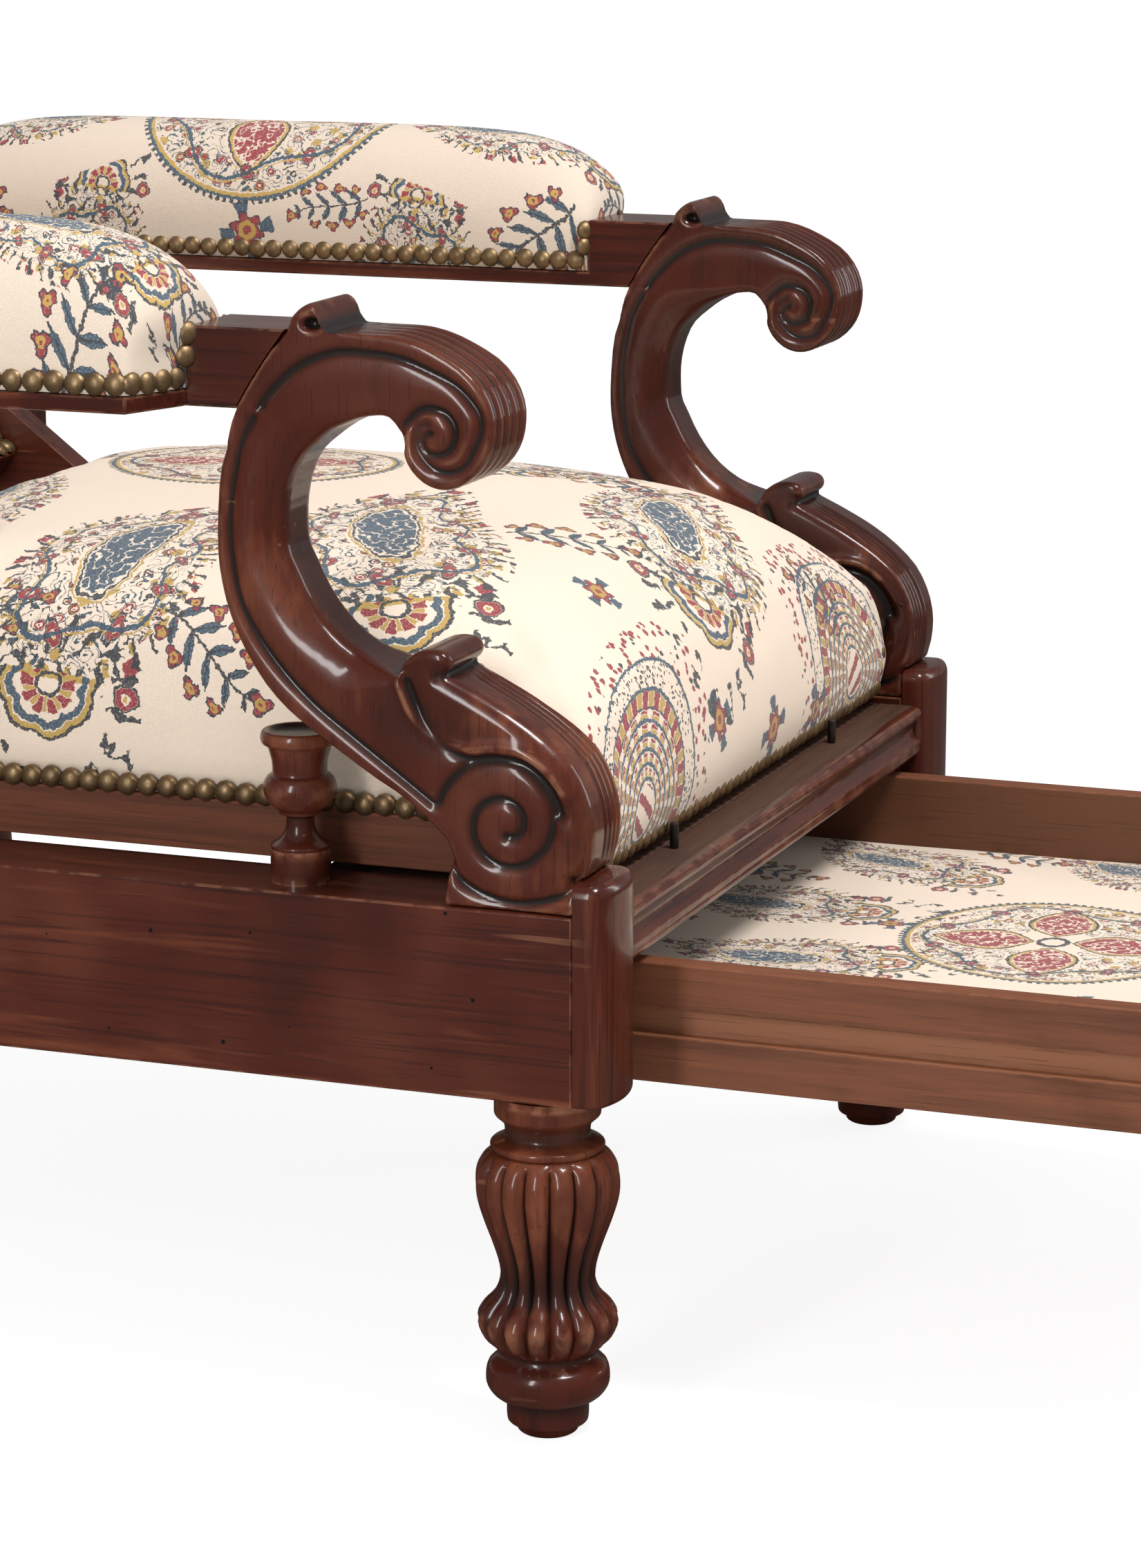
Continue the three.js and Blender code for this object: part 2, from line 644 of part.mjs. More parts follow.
// The crest rolls over backwards; shares of its height from the top of the stiles
const crestShares = [
  [0.304, 0], [0.35, 0.3], [0.5, 0.42], [0.64, 0.55], [0.68, 0.72], [0.6, 0.88], [0.42, 0.985], [0.2, 1],
  [-0.02, 0.95], [-0.17, 0.82], [-0.25, 0.62], [-0.26, 0.45], [-0.304, 0.36], [-0.304, 0],
];

function crest() {
  const shape = shapeOf(crestShares.map(([y, z]) => [y * crestHeight, stileLength + gap + z * crestHeight]));
  return extrudeAlongX(shape, -stileOuter, stileOuter);
}

function backWebbing() {
  const half = stileInner - gap;
  const bottom = backRailStart + backRailHeight + gap;
  return webs(-half, half, bottom, stileLength, webColumns, webRows)
    .rotateX(Math.PI / 2).translate(0, backPlane + webThickness, 0);
}

function backCushion() {
  const half = stileInner - nailBandHeight - 2 * gap;
  const border = nailBandHeight + gap;
  const pad = crownedPad({
    x0: -half, x1: half, y0: backRailStart + border, y1: stileLength - border, base: 0, rise: backCrown,
    crown: backCrownShares, columns: 16, rows: 20,
  });
  return pad.rotateX(Math.PI / 2).translate(0, backPlane - gap, 0);
}

// The nail band that frames the back cushion
function backNails() {
  const rect = (x, z0, z1) => [[-x, z0], [x, z0], [x, z1], [-x, z1]];
  const half = stileInner - gap;
  const plan = shapeOf(rect(half, backRailStart, stileLength));
  const inner = rect(half - nailBandHeight, backRailStart + nailBandHeight, stileLength - nailBandHeight);
  plan.holes.push(new THREE.Path(inner.map(([x, z]) => new THREE.Vector2(x, z))));
  const face = backPlane - gap;
  return extrudeAlongY(plan, face - nailBandThickness, face);
}

function backCover() {
  const half = stileInner - gap;
  const rear = stileDepth / 2;
  return block(-half, half, rear - coverThickness, rear, backRailStart, stileLength);
}

// Footrest drawer, drawn out by its travel

const footrestFront = -footrestTravel;
const footrestRear = footrestLength - footrestTravel;
const footrestInner = footrestHalf - footrestSideThickness;

function footrestSide(sign) {
  const outer = footrestHalf;
  const floor = outer - grooveDepth;
  const section = shapeOf([[footrestInner, footrestBottom], [outer, footrestBottom], [outer, grooveBottom],
    [floor, grooveBottom], [floor, grooveTop], [outer, grooveTop], [outer, footrestTop],
    [footrestInner, footrestTop]].map(([x, z]) => [sign * x, z]));
  return extrudeAlongY(section, footrestFront + footrestFrontThickness + gap, footrestRear);
}

function footrestFrontBoard() {
  const half = innerHalf - footrestFrontGap;
  const top = shelfTop - frontRailHeight - footrestFrontGap;
  return block(-half, half, footrestFront, footrestFront + footrestFrontThickness, footrestBottom, top);
}

function footrestBackBoard() {
  const half = footrestInner - gap;
  return block(-half, half, footrestRear - footrestSideThickness, footrestRear,
    footrestBottom, footrestTop - footrestBackDrop);
}

const footrestPanel = [footrestFront + footrestFrontThickness + gap, footrestRear - footrestSideThickness - gap];

function footrestBoard() {
  const half = footrestInner - gap;
  const bottom = footrestBottom + footrestBoardRise;
  return block(-half, half, ...footrestPanel, bottom, bottom + footrestBoardThickness);
}

function footrestPad() {
  const half = footrestInner - gap;
  const base = footrestBottom + footrestBoardRise + footrestBoardThickness + gap;
  const flat = block(-half, half, ...footrestPanel, base, base + footrestPadThickness - footrestPadCrown);
  const dome = crownedPad({
    x0: -half, x1: half, y0: footrestPanel[0], y1: footrestPanel[1],
    base: base + footrestPadThickness - footrestPadCrown - gap, rise: footrestPadCrown,
    crown: footrestCrownShares, columns: 8, rows: 10,
  });
  return join(flat, dome);
}

function footrestRunner(sign) {
  const inner = footrestHalf - grooveDepth + runnerPlay;
  return block(sign * inner, sign * (innerHalf - gap), postDepth + gap, footrestLength,
    grooveBottom + runnerPlay, grooveTop - runnerPlay);
}

const knobShares = [
  [0, 0], [0.5, 0], [0.45, 0.25], [0.6, 0.4], [0.95, 0.55], [1, 0.72], [0.85, 0.9], [0.5, 1], [0, 1],
];

function footrestKnob(sign) {
  return turned(knobShares, knobRadius, knobLength, 16).rotateX(Math.PI / 2)
    .translate(sign * (innerHalf - knobInset), footrestFront - gap, footrestBottom + knobRise);
}

for (const { name, sign } of sides) {
  piece(`side_rail_${name}`, sideRail(sign), mahogany);
  piece(`front_post_${name}`, frontPost(sign), mahogany);
  piece(`front_leg_${name}`, leg(sign, frontLegShares, legRadius, frontLegSetback, 24), mahogany);
  piece(`rear_leg_${name}`, leg(sign, rearLegShares, rearLegRadius, frameDepth - rearLegSetback, 20), mahogany);
  piece(`rear_post_${name}`, rearPost(sign), mahogany);
  piece(`arm_support_${name}`, armSupport(sign), mahogany);
  piece(`arm_rail_${name}`, armRail(sign), mahogany);
  piece(`arm_board_${name}`, armBoard(sign), mahogany);
  piece(`arm_pad_${name}`, armPad(sign), fabric);
  piece(`arm_nails_${name}`, armNails(sign), brass);
  piece(`turned_socket_${name}`, socket(sign), mahogany);
  piece(`stop_pin_${name}`, stopPin(sign), iron);
  piece(`footrest_runner_${name}`, footrestRunner(sign), beech);
  piece(`catch_bolt_${name}`, catchBolt(sign), brass);
  piece(`seat_side_rail_${name}`, seatSideRail(sign), mahogany);
  piece(`seat_glide_${name}`, seatGlide(sign), beech);
  piece(`hinge_pin_${name}`, hingePin(sign), iron);
  piece(`back_stile_${name}`, stile(sign), mahogany, back);
  piece(`footrest_side_${name}`, footrestSide(sign), drawerWood);
  piece(`footrest_knob_${name}`, footrestKnob(sign), mahogany);
}
piece('front_rail', frontRail(), mahogany);
piece('seat_shelf', seatShelf(), drawerWood);
piece('rear_bearer', rearBearer(), beech);
piece('rear_rail', rearRail(), mahogany);
piece('back_rest_bar', restBar(), mahogany);
const seatFrameFront = seatFront + seatCover;
piece('seat_front_rail', seatCrossRail(seatFrameFront, seatFrameFront + seatRailThickness, seatBottom), beech);
piece('seat_rear_rail', seatCrossRail(seatRear - seatRailThickness, seatRear, shelfTop + gap), beech);
piece('seat_webbing', seatWebbing(), webbing);
piece('seat_cushion', seatCushion(), fabric);
piece('seat_nails', seatNails(), brass);
piece('back_lower_rail', backLowerRail(), mahogany, back);
piece('back_crest', crest(), mahogany, back);
piece('back_webbing', backWebbing(), webbing, back);
piece('back_cushion', backCushion(), fabric, back);
piece('back_nails', backNails(), brass, back);
piece('back_cover', backCover(), fabric, back);
piece('footrest_front', footrestFrontBoard(), mahogany);
piece('footrest_back', footrestBackBoard(), drawerWood);
piece('footrest_board', footrestBoard(), beech);
piece('footrest_pad', footrestPad(), fabric);

// The origin is on the floor, under the middle of the whole chair as it is drawn out
chair.updateMatrixWorld(true);
const bounds = new THREE.Box3().setFromObject(chair, true);
chair.position.y = -(bounds.min.y + bounds.max.y) / 2;
chair.updateMatrixWorld(true);

export default chair;
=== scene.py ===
"""A mahogany reclining armchair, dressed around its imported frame."""

import json
import math

import bmesh
import bpy
import numpy as np
from bpy.props import FloatProperty, FloatVectorProperty, IntProperty, PointerProperty
from mathutils import Matrix, Vector

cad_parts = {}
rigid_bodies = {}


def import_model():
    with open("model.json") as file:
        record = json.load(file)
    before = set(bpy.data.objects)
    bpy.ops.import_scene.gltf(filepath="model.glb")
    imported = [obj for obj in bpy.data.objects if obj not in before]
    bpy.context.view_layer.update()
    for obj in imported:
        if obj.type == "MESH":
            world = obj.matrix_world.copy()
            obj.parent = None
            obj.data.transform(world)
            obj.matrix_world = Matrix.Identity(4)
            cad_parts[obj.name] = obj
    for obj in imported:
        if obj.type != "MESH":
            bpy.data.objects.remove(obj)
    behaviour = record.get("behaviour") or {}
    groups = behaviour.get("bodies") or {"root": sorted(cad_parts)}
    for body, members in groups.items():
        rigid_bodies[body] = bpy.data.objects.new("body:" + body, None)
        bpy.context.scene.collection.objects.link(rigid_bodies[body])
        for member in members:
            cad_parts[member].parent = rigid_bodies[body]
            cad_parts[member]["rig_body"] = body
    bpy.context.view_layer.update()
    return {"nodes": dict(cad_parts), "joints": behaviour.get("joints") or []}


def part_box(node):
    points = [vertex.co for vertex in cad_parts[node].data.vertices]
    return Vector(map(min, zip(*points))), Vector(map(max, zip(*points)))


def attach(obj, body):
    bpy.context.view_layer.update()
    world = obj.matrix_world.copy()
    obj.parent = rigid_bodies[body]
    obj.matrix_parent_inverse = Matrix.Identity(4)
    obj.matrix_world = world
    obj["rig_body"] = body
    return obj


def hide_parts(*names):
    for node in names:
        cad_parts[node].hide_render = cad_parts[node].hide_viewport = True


bl_info = {
    "name": "Reclining armchair",
    "version": (1, 0, 0),
    "blender": (4, 5, 0),
    "location": "View3D > Sidebar > Armchair",
    "description": "Dresses the packed frame of a reclining armchair with wood, cloth and nails",
    "category": "Object",
}

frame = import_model()
MM = 0.001
SIDES = (("right", -1), ("left", 1))

# The front posts' face, from which depths are measured, and the two sides of an arm support
POST_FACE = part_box("front_post_right")[0].y
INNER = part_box("side_rail_left")[0].x
ARM_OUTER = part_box("arm_support_left")[1].x


def at(x, y, z):
    """A point in the row frame from millimetres across, behind the front posts' face and up."""
    return Vector((x * MM, POST_FACE + y * MM, z * MM))


# ---------------------------------------------------------------- settings


def colour(name, text, value):
    return FloatVectorProperty(
        name=name, description=text, subtype="COLOR", size=3, min=0, max=1, default=value)


def length(name, text, value):
    return FloatProperty(
        name=name, description=text, subtype="DISTANCE", unit="LENGTH", default=value)


def number(name, text, value, low, high):
    return FloatProperty(name=name, description=text, default=value, min=low, max=high)


class WoodLook(bpy.types.PropertyGroup):
    """Colours and polish of the chair's woods"""

    deep: colour("Deep", "Darkest grain of the mahogany", (0.02, 0.0055, 0.004))
    body: colour("Body", "Main colour of the mahogany", (0.058, 0.0112, 0.0056))
    warm: colour("Warm", "Lightest grain of the mahogany", (0.15, 0.042, 0.018))
    worn: colour("Worn", "Edges rubbed through to paler wood", (0.25, 0.105, 0.055))
    # Grime also colours the painted shade in the carving's hollows
    grime_and_shade: colour("Grime and shade", "Old polish and painted shade in the recesses", (0.009, 0.005, 0.004))
    drawer: colour("Drawer sides", "Dull brown of the drawer sides", (0.135, 0.045, 0.02))
    shelf: colour("Shelf", "Unpolished board behind the front rail", (0.062, 0.029, 0.018))
    rail: colour("Worn rail", "Worn wood of the seat's side rails", (0.125, 0.037, 0.016))
    bare: colour("Bare wood", "Unpolished inner wood", (0.25, 0.1, 0.048))
    post_bow: length("Post bow", "How far the front posts' faces bow out", 0.0075)
    post_corner: length("Post corner", "Radius of the front posts' corners", 0.008)
    post_dome: length("Post dome", "Radius of the front posts' caps", 0.008)
    gloss: number("Gloss", "Roughness of the polish", 0.3, 0.05, 1)
    arris: length("Arris", "Width of the softened edges", 0.0014)


class CarvingSizes(bpy.types.PropertyGroup):
    """Sizes of the carving on the arm supports and front legs"""

    grain: length("Carving step", "Spacing of the carved surface's points", 0.0017)
    groove: length("Groove depth", "Depth of the carved lines", 0.0034)
    groove_width: length("Groove width", "Half-width of the carved lines", 0.0022)
    reed: length("Reed depth", "Depth between the reeds", 0.0034)
    leg_reeds: IntProperty(
        name="Leg reeds", description="Reeds round each front leg", default=16, min=6, max=40)
    leg_reed_depth: length("Leg reed depth", "Depth between the reeds of the legs", 0.0052)


class ClothLook(bpy.types.PropertyGroup):
    """Colours and weave of the printed cloth"""

    cream: colour("Ground", "Cream ground of the cloth", (0.715, 0.59, 0.475))
    blue: colour("Blue", "Blue ink", (0.024, 0.065, 0.105))
    red: colour("Red", "Crimson ink", (0.24, 0.013, 0.025))
    ochre: colour("Ochre", "Ochre ink", (0.42, 0.265, 0.055))
    dark: colour("Outline", "Dark outline ink", (0.02, 0.028, 0.038))
    weave: length("Weave", "Spacing of the twill's ribs", 0.0012)
    swell: length("Swell", "Most that the stuffing may move the cloth", 0.006)


class NailSizes(bpy.types.PropertyGroup):
    """Sizes of the dome nails"""

    radius: length("Radius", "Radius of a nail's head", 0.0068)
    height: length("Height", "Height of a nail's dome", 0.0044)
    pitch: length("Pitch", "Spacing of the nails", 0.0126)
    brass: colour("Brass", "Colour of the old brass", (0.25, 0.165, 0.085))


class StudioSettings(bpy.types.PropertyGroup):
    """The camera, the light and the floor"""

    lens: number("Lens", "Focal length in millimetres", 100.9, 20, 300)
    ambient: number("Ambient", "Strength of the room's light", 0.64, 0, 3)
    polish: number("Room in polish", "Strength of the room in the polish", 0.24, 0, 3)
    key: number("Key light", "Power of the main soft box in watts", 88, 0, 500)


class ChairSettings(bpy.types.PropertyGroup):
    """All the armchair's settings"""

    wood: PointerProperty(type=WoodLook, name="Wood")
    carving: PointerProperty(type=CarvingSizes, name="Carving")
    cloth: PointerProperty(type=ClothLook, name="Cloth")
    nails: PointerProperty(type=NailSizes, name="Nails")
    studio: PointerProperty(type=StudioSettings, name="Studio")


def settings():
    return bpy.context.scene.armchair


# ---------------------------------------------------------------- shader writing


def operation(name):
    """A method that puts a value, and what it is given, through one Math node."""

    def method(self, *others):
        return self.shader.math(name, self, *others)

    return method


class Value:
    """A number on a node's socket, used in Python expressions."""

    def __init__(self, shader, socket):
        self.shader, self.socket = shader, socket

    __add__ = __radd__ = operation("ADD")
    __mul__ = __rmul__ = operation("MULTIPLY")
    __sub__ = operation("SUBTRACT")
    __truediv__ = operation("DIVIDE")
    __pow__ = operation("POWER")
    __abs__ = operation("ABSOLUTE")
    below = operation("LESS_THAN")
    above = operation("GREATER_THAN")
    near = operation("COMPARE")  # 1 where the value lies within a width of another
    least = operation("MINIMUM")
    most = operation("MAXIMUM")
    sine = operation("SINE")
    part = operation("FRACT")
    root = operation("SQRT")

    def __rsub__(self, other):
        return self.shader.math("SUBTRACT", other, self)

    def ramp(self, low, high, to_low=0.0, to_high=1.0):
        """A smooth step from low to high."""
        kind = {"interpolation_type": "SMOOTHSTEP", "data_type": "FLOAT"}
        inputs = {0: self, 1: low, 2: high, 3: to_low, 4: to_high}
        return self.shader.value("ShaderNodeMapRange", kind, inputs)


class Shader:
    """Builds the nodes of a material or a world."""

    def __init__(self, owner):
        owner.use_nodes = True
        self.owner, self.tree = owner, owner.node_tree
        self.tree.nodes.clear()

    def node(self, kind, options=None, inputs=None):
        """A node of a kind, with its options set first and then its inputs, by name or number."""
        made = self.tree.nodes.new(kind)
        for name, value in (options or {}).items():
            setattr(made, name, value)
        for name, value in (inputs or {}).items():
            self._feed(made.inputs[name], value)
        return made

    def _feed(self, socket, value):
        if isinstance(value, Value):
            value = value.socket
        if isinstance(value, bpy.types.NodeSocket):
            self.tree.links.new(value, socket)
        elif hasattr(socket.default_value, "__len__"):
            size = len(socket.default_value)
            given = tuple(value) if hasattr(value, "__len__") else (value,) * size
            socket.default_value = (given + (1.0,))[:size]
        else:
            socket.default_value = value

    def value(self, kind, options=None, inputs=None, output=0):
        return Value(self, self.node(kind, options, inputs).outputs[output])

    def math(self, kind, *values):
        return self.value("ShaderNodeMath", {"operation": kind}, dict(enumerate(values)))

    def angle(self, up, along):
        return self.math("ARCTAN2", up, along)

    def colours(self, amount, stops):
        """A colour ramp through stops of (place, colour)."""
        made = self.node("ShaderNodeValToRGB", None, {0: amount})
        elements = made.color_ramp.elements
        elements.remove(elements[-1])
        for i, (place, value) in enumerate(stops):
            element = elements.new(place) if i else elements[0]
            element.position, element.color = place, (*value, 1.0)
        return made.outputs[0]

    def blend(self, amount, first, second):
        """A colour between first and second."""
        inputs = {0: amount, 6: first, 7: second}
        return self.node("ShaderNodeMix", {"data_type": "RGBA"}, inputs).outputs[2]

    def choose(self, amount, first, second):
        """A vector between first and second."""
        inputs = {0: amount, 4: first, 5: second}
        return self.node("ShaderNodeMix", {"data_type": "VECTOR"}, inputs).outputs[1]

    def place(self):
        return self.node("ShaderNodeTexCoord").outputs["Object"]

    def attribute(self, name):
        return self.value("ShaderNodeAttribute", {"attribute_name": name}, output=2)

    def mapped(self, vector, **transform):
        inputs = {name.capitalize(): value for name, value in transform.items()}
        inputs["Vector"] = vector
        return self.node("ShaderNodeMapping", {"vector_type": "POINT"}, inputs).outputs[0]

    def axes(self, vector):
        made = self.node("ShaderNodeSeparateXYZ", None, {0: vector})
        return [Value(self, output) for output in made.outputs]

    def reach(self, vector):
        return self.value("ShaderNodeVectorMath", {"operation": "LENGTH"}, {0: vector}, output=1)

    def noise(self, vector, scale, detail=3.0, roughness=0.55, distortion=0.0):
        return self.value("ShaderNodeTexNoise", None, {
            "Vector": vector, "Scale": scale, "Detail": detail, "Roughness": roughness,
            "Distortion": distortion})

    def grain(self, place, along, thin, scale, *more):
        """Noise drawn out along one axis."""
        stretch = tuple(thin if axis == along else 1.0 for axis in "XYZ")
        return self.noise(self.mapped(place, scale=stretch), scale, *more)

    def cells(self, vector, scale, output="Distance"):
        return self.value(
            "ShaderNodeTexVoronoi", None, {"Vector": vector, "Scale": scale}, output=output)

    def bump(self, height, depth, strength=1.0, under=None):
        inputs = {"Height": height, "Distance": depth, "Strength": strength}
        if under is not None:
            inputs["Normal"] = under
        return self.node("ShaderNodeBump", None, inputs).outputs[0]

    def output(self, surface, kind="ShaderNodeOutputMaterial"):
        self.node(kind, None, {0: surface.outputs[0]})
        return self.owner

    def finish(self, specular=0.5, **inputs):
        """The principled surface, with inputs named in lower case."""
        named = {name.replace("_", " ").title(): value for name, value in inputs.items()}
        named["Specular IOR Level"] = specular
        return self.output(self.node("ShaderNodeBsdfPrincipled", None, named))


def new_material(name):
    return Shader(bpy.data.materials.get(name) or bpy.data.materials.new(name))


def scaled(value, share):
    return tuple(channel * share for channel in value)


def wood_material(name, along, carved=False, wormed=False):
    """Old polished mahogany with its grain along one axis: warm streaks, pores, grime and painted
    shade in the hollows, broad painted shade on the carving, rubbed edges, fine scratches and, on
    the rails, worm holes."""
    look = settings().wood
    sh = new_material(name)
    place = sh.place()
    streaks = sh.grain(place, along, 0.05, 95.0, 5.0, 0.6, 0.6)
    broad = sh.grain(place, along, 0.05, 21.0, 3.0, 0.5, 1.2)
    clouds = sh.noise(place, 9.0, 2.0)
    tone = streaks * 0.45 + broad * 0.55
    if carved:
        tone = tone * 0.45 + sh.noise(place, 13.0, 3.0) * 0.55
    base = sh.colours(tone, [(0.35, look.deep), (0.44, look.body), (0.54, look.body),
                             (0.66, look.warm)])
    base = sh.blend(clouds.ramp(0.48, 0.72) * 0.3, base, look.warm)
    base = sh.blend(clouds.ramp(0.5, 0.3) * 0.5, base, look.deep)
    lines = sh.grain(place, along, 0.0175, 240.0, 3.0).ramp(0.5, 0.68)
    base = sh.blend(lines * (0.12 if carved else 0.6), base, look.deep)
    pore = sh.grain(place, along, 0.03, 620.0, 2.0).ramp(0.6, 0.68)
    base = sh.blend(pore * 0.5, base, look.deep)
    rubbed = sh.noise(place, 60.0, 4.0)
    wear = sh.attribute("edge") * rubbed.ramp(0.42, 0.6) * 0.32
    height = streaks * 0.25 - pore * 0.6
    rough = clouds.ramp(0.3, 0.75, -0.04, 0.08) + look.gloss
    if carved:
        hollow = sh.attribute("hollow")
        # Painted shade, with grime, darkens the carving's fine hollows
        grime_and_shade = hollow.ramp(0.12, 0.75)
        wear = wear.most((0.0 - hollow).ramp(0.3, 1.0) * rubbed.ramp(0.4, 0.62) * 0.6)
        # Painted shade over the carving's broad hollows
        base = sh.blend(sh.attribute("broad_shade").ramp(-0.15, 0.4) * 0.8, base, look.grime_and_shade)
        base = sh.blend(grime_and_shade * 0.9, base, look.grime_and_shade)
        rough = rough + grime_and_shade * 0.25
    base = sh.blend(wear, base, look.worn)
    if wormed:
        flat = sh.mapped(place, scale=(0.0, 1.0, 1.0))
        chance = sh.axes(sh.cells(flat, 55.0, output="Color"))[0]
        hole = sh.cells(flat, 55.0).below(0.075) * chance.above(0.55)
        base = sh.blend(hole, base, (0.004, 0.002, 0.002))
        height = height - hole * 4.0
        rough = rough + hole * 0.5
    tilted = sh.mapped(place, rotation=(0.5, 0.3, 0.9), scale=(1.0, 0.03, 1.0))
    scratch = sh.noise(tilted, 130.0, 1.0).above(0.735) * sh.noise(place, 15.0, 1.0).ramp(0.5, 0.66)
    base = sh.blend(scratch * 0.35, base, look.worn)
    uneven = sh.bump(sh.noise(place, 34.0, 2.0), 0.0012, 0.35)
    normal = sh.bump(height, 0.00012, 0.5, uneven)
    return sh.finish(base_color=base, roughness=rough, normal=normal, coat_weight=0.45,
                     coat_roughness=0.11, specular=0.15)


def bare_material(name, along, main, groove=False):
    """Dull wood of the drawer, the shelf and the inner rails."""
    look = settings().wood
    sh = new_material(name)
    place = sh.place()
    fine = sh.grain(place, along, 0.04, 210.0, 5.0, 0.65, 0.4)
    broad = sh.grain(place, along, 0.04, 26.0, 3.0, 0.5, 0.8)
    dark, pale = scaled(main, 0.5), scaled(main, 1.45)
    base = sh.colours(fine * 0.5 + broad * 0.5, [(0.3, dark), (0.5, tuple(main)), (0.72, pale)])
    stain = sh.noise(place, 14.0, 3.0)
    base = sh.blend(stain.ramp(0.55, 0.75) * 0.35, base, dark)
    if groove:
        base = sh.blend(sh.attribute("worn_run") * 0.85, base, look.bare)
        # Painted shade darkens the drawer sides' inner faces
        base = sh.blend(sh.attribute("inside") * 0.6, base, scaled(look.drawer, 0.3))
    edge = sh.attribute("edge") * sh.noise(place, 80.0, 3.0).ramp(0.4, 0.6)
    base = sh.blend(edge * 0.55, base, pale)
    pore = sh.grain(place, along, 0.02, 700.0, 2.0).ramp(0.6, 0.68)
    base = sh.blend(pore * 0.4, base, dark)
    normal = sh.bump(fine * 0.6 - pore * 0.8, 0.0002, 0.6)
    rough = stain.ramp(0.3, 0.8, 0.5, 0.7)
    return sh.finish(base_color=base, roughness=rough, normal=normal, specular=0.25)


def metal_material(name, main, roughness, tarnish):
    """Old brass or iron, darker in patches."""
    sh = new_material(name)
    place = sh.place()
    patches = sh.noise(place, 90.0, 3.0)
    base = sh.blend(patches.ramp(0.4, 0.7) * tarnish, main, scaled(main, 0.45))
    rough = sh.noise(place, 500.0, 2.0).ramp(0.3, 0.7, roughness - 0.07, roughness + 0.1)
    normal = sh.bump(patches, 0.0004, 0.25)
    return sh.finish(base_color=base, roughness=rough, metallic=0.88, normal=normal)


def webbing_material(name):
    """Plain jute webs."""
    sh = new_material(name)
    place = sh.place()
    x, y, z = sh.axes(place)
    ribs = (x * 2600.0).sine() * 0.5 + (y * 2600.0 + z * 2600.0).sine() * 0.5
    base = sh.blend(sh.noise(place, 300.0, 3.0), (0.36, 0.25, 0.13), (0.52, 0.4, 0.24))
    return sh.finish(base_color=base, roughness=0.92, normal=sh.bump(ribs, 0.0004, 0.5))


# ---------------------------------------------------------------- printed cloth


# The layers of the print from the lowest up, and the ink of each; bare ground has none
LAYERS = (
    ("ochre", "ochre"), ("blue", "blue"), ("red", "red"), ("dark", "dark"), ("bare", None),
    ("gold", "ochre"), ("rose", "red"), ("vine", "blue"), ("line", "dark"),
)


class Inks:
    """Where each layer of the print lies; later motifs add to it."""

    def __init__(self):
        self.layers = {}

    def lay(self, layer, mask):
        self.layers[layer] = self.layers[layer].most(mask) if layer in self.layers else mask


def away(x, y):
    """How far two coordinates lie from zero."""
    return (x * x + y * y).root()


def nearest_motif(sh, cloth, places):
    """The coordinates on whichever of the places is nearest, as a vector of a motif's own size."""
    found = None
    for u, v, turn, size, flip in places:
        spot = sh.node("ShaderNodeMapping", {"vector_type": "TEXTURE"}, {
            "Vector": cloth, "Location": (u * MM, v * MM, 0.0),
            "Rotation": (0.0, 0.0, math.radians(turn)),
            "Scale": (size * MM * flip, size * MM, 1.0)}).outputs[0]
        if found is None:
            found = spot
        else:
            found = sh.choose(sh.reach(spot).below(sh.reach(found)), found, spot)
    return found


def filigree(sh, inks, spot, scale, inside):
    """Fine pen work that fills a motif: curling stems, leaves and small flowers."""
    curls = sh.noise(spot, scale * 0.55, 1.0) * 9.0
    broken = sh.noise(spot, scale * 1.3, 1.0)
    inks.lay("dark", curls.part().near(0.5, 0.065) * broken.above(0.47) * inside)
    inks.lay("blue", (curls + 0.3).part().near(0.5, 0.11) * broken.below(0.5) * inside)
    cells = sh.cells(spot, scale)
    pick = sh.axes(sh.cells(spot, scale, output="Color"))
    petals = pick[0].above(0.55) * inside
    flower = cells.below(0.32) * petals
    inks.lay("red", flower)
    inks.lay("bare", cells.near(0.15, 0.05) * flower)
    inks.lay("ochre", cells.below(0.42) * pick[1].above(0.66) * inside)
    inks.lay("dark", cells.near(0.4, 0.035) * petals)


def rosette(inks, far, size, inside):
    """A flower of rings in several inks."""
    inks.lay("bare", far.below(size) * inside)
    inks.lay("rose", far.near(size * 0.62, size * 0.26) * inside)
    inks.lay("gold", far.below(size * 0.2) * inside)
    inks.lay("line", far.near(size, size * 0.1) * inside)


def vine_ring(inks, radius, angle, middle, swing, lobes, thick, inside):
    """A waving vine round a motif, with a flower in each of its bends."""
    wave = (angle * lobes).sine()
    inks.lay("vine", radius.near(wave * swing + middle, thick) * inside)
    inks.lay("gold", radius.near(wave * swing + (middle + thick * 2.0), thick * 0.4) * inside)
    across = ((angle * (lobes / math.pi) + 0.5).part() - 0.5) * (math.pi / lobes) * middle
    out = radius - middle + wave * swing * 0.9
    rosette(inks, away(across, out), swing * 0.72, inside)


def spikes(inks, shape, angle, start, reach, count, ragged):
    """Short strokes that stand out round a motif's edge."""
    depth = (shape - start) / reach
    comb = (angle * count + ragged * 9.0).sine().above(0.72)
    inks.lay("dark", depth.near(0.5, 0.5) * ragged.above(0.4) * comb)
    reds, ochres = (angle * (count * 0.37) + 1.0).sine(), (angle * (count * 0.51)).sine()
    inks.lay("red", depth.near(0.75, 0.25) * ragged.above(0.5) * reds.above(0.6))
    inks.lay("ochre", depth.near(0.3, 0.25) * ragged.below(0.5) * ochres.above(0.45))


def leaning_leaf(p, q, lean, width, taper):
    """Rings of the boteh's leaning leaf, 1 at its edge, and its coordinate across."""
    rise = q.most(0.0)
    x = p - rise * rise * lean
    return ((x / (width - q * taper)) ** 2.0 + q * q).root(), x


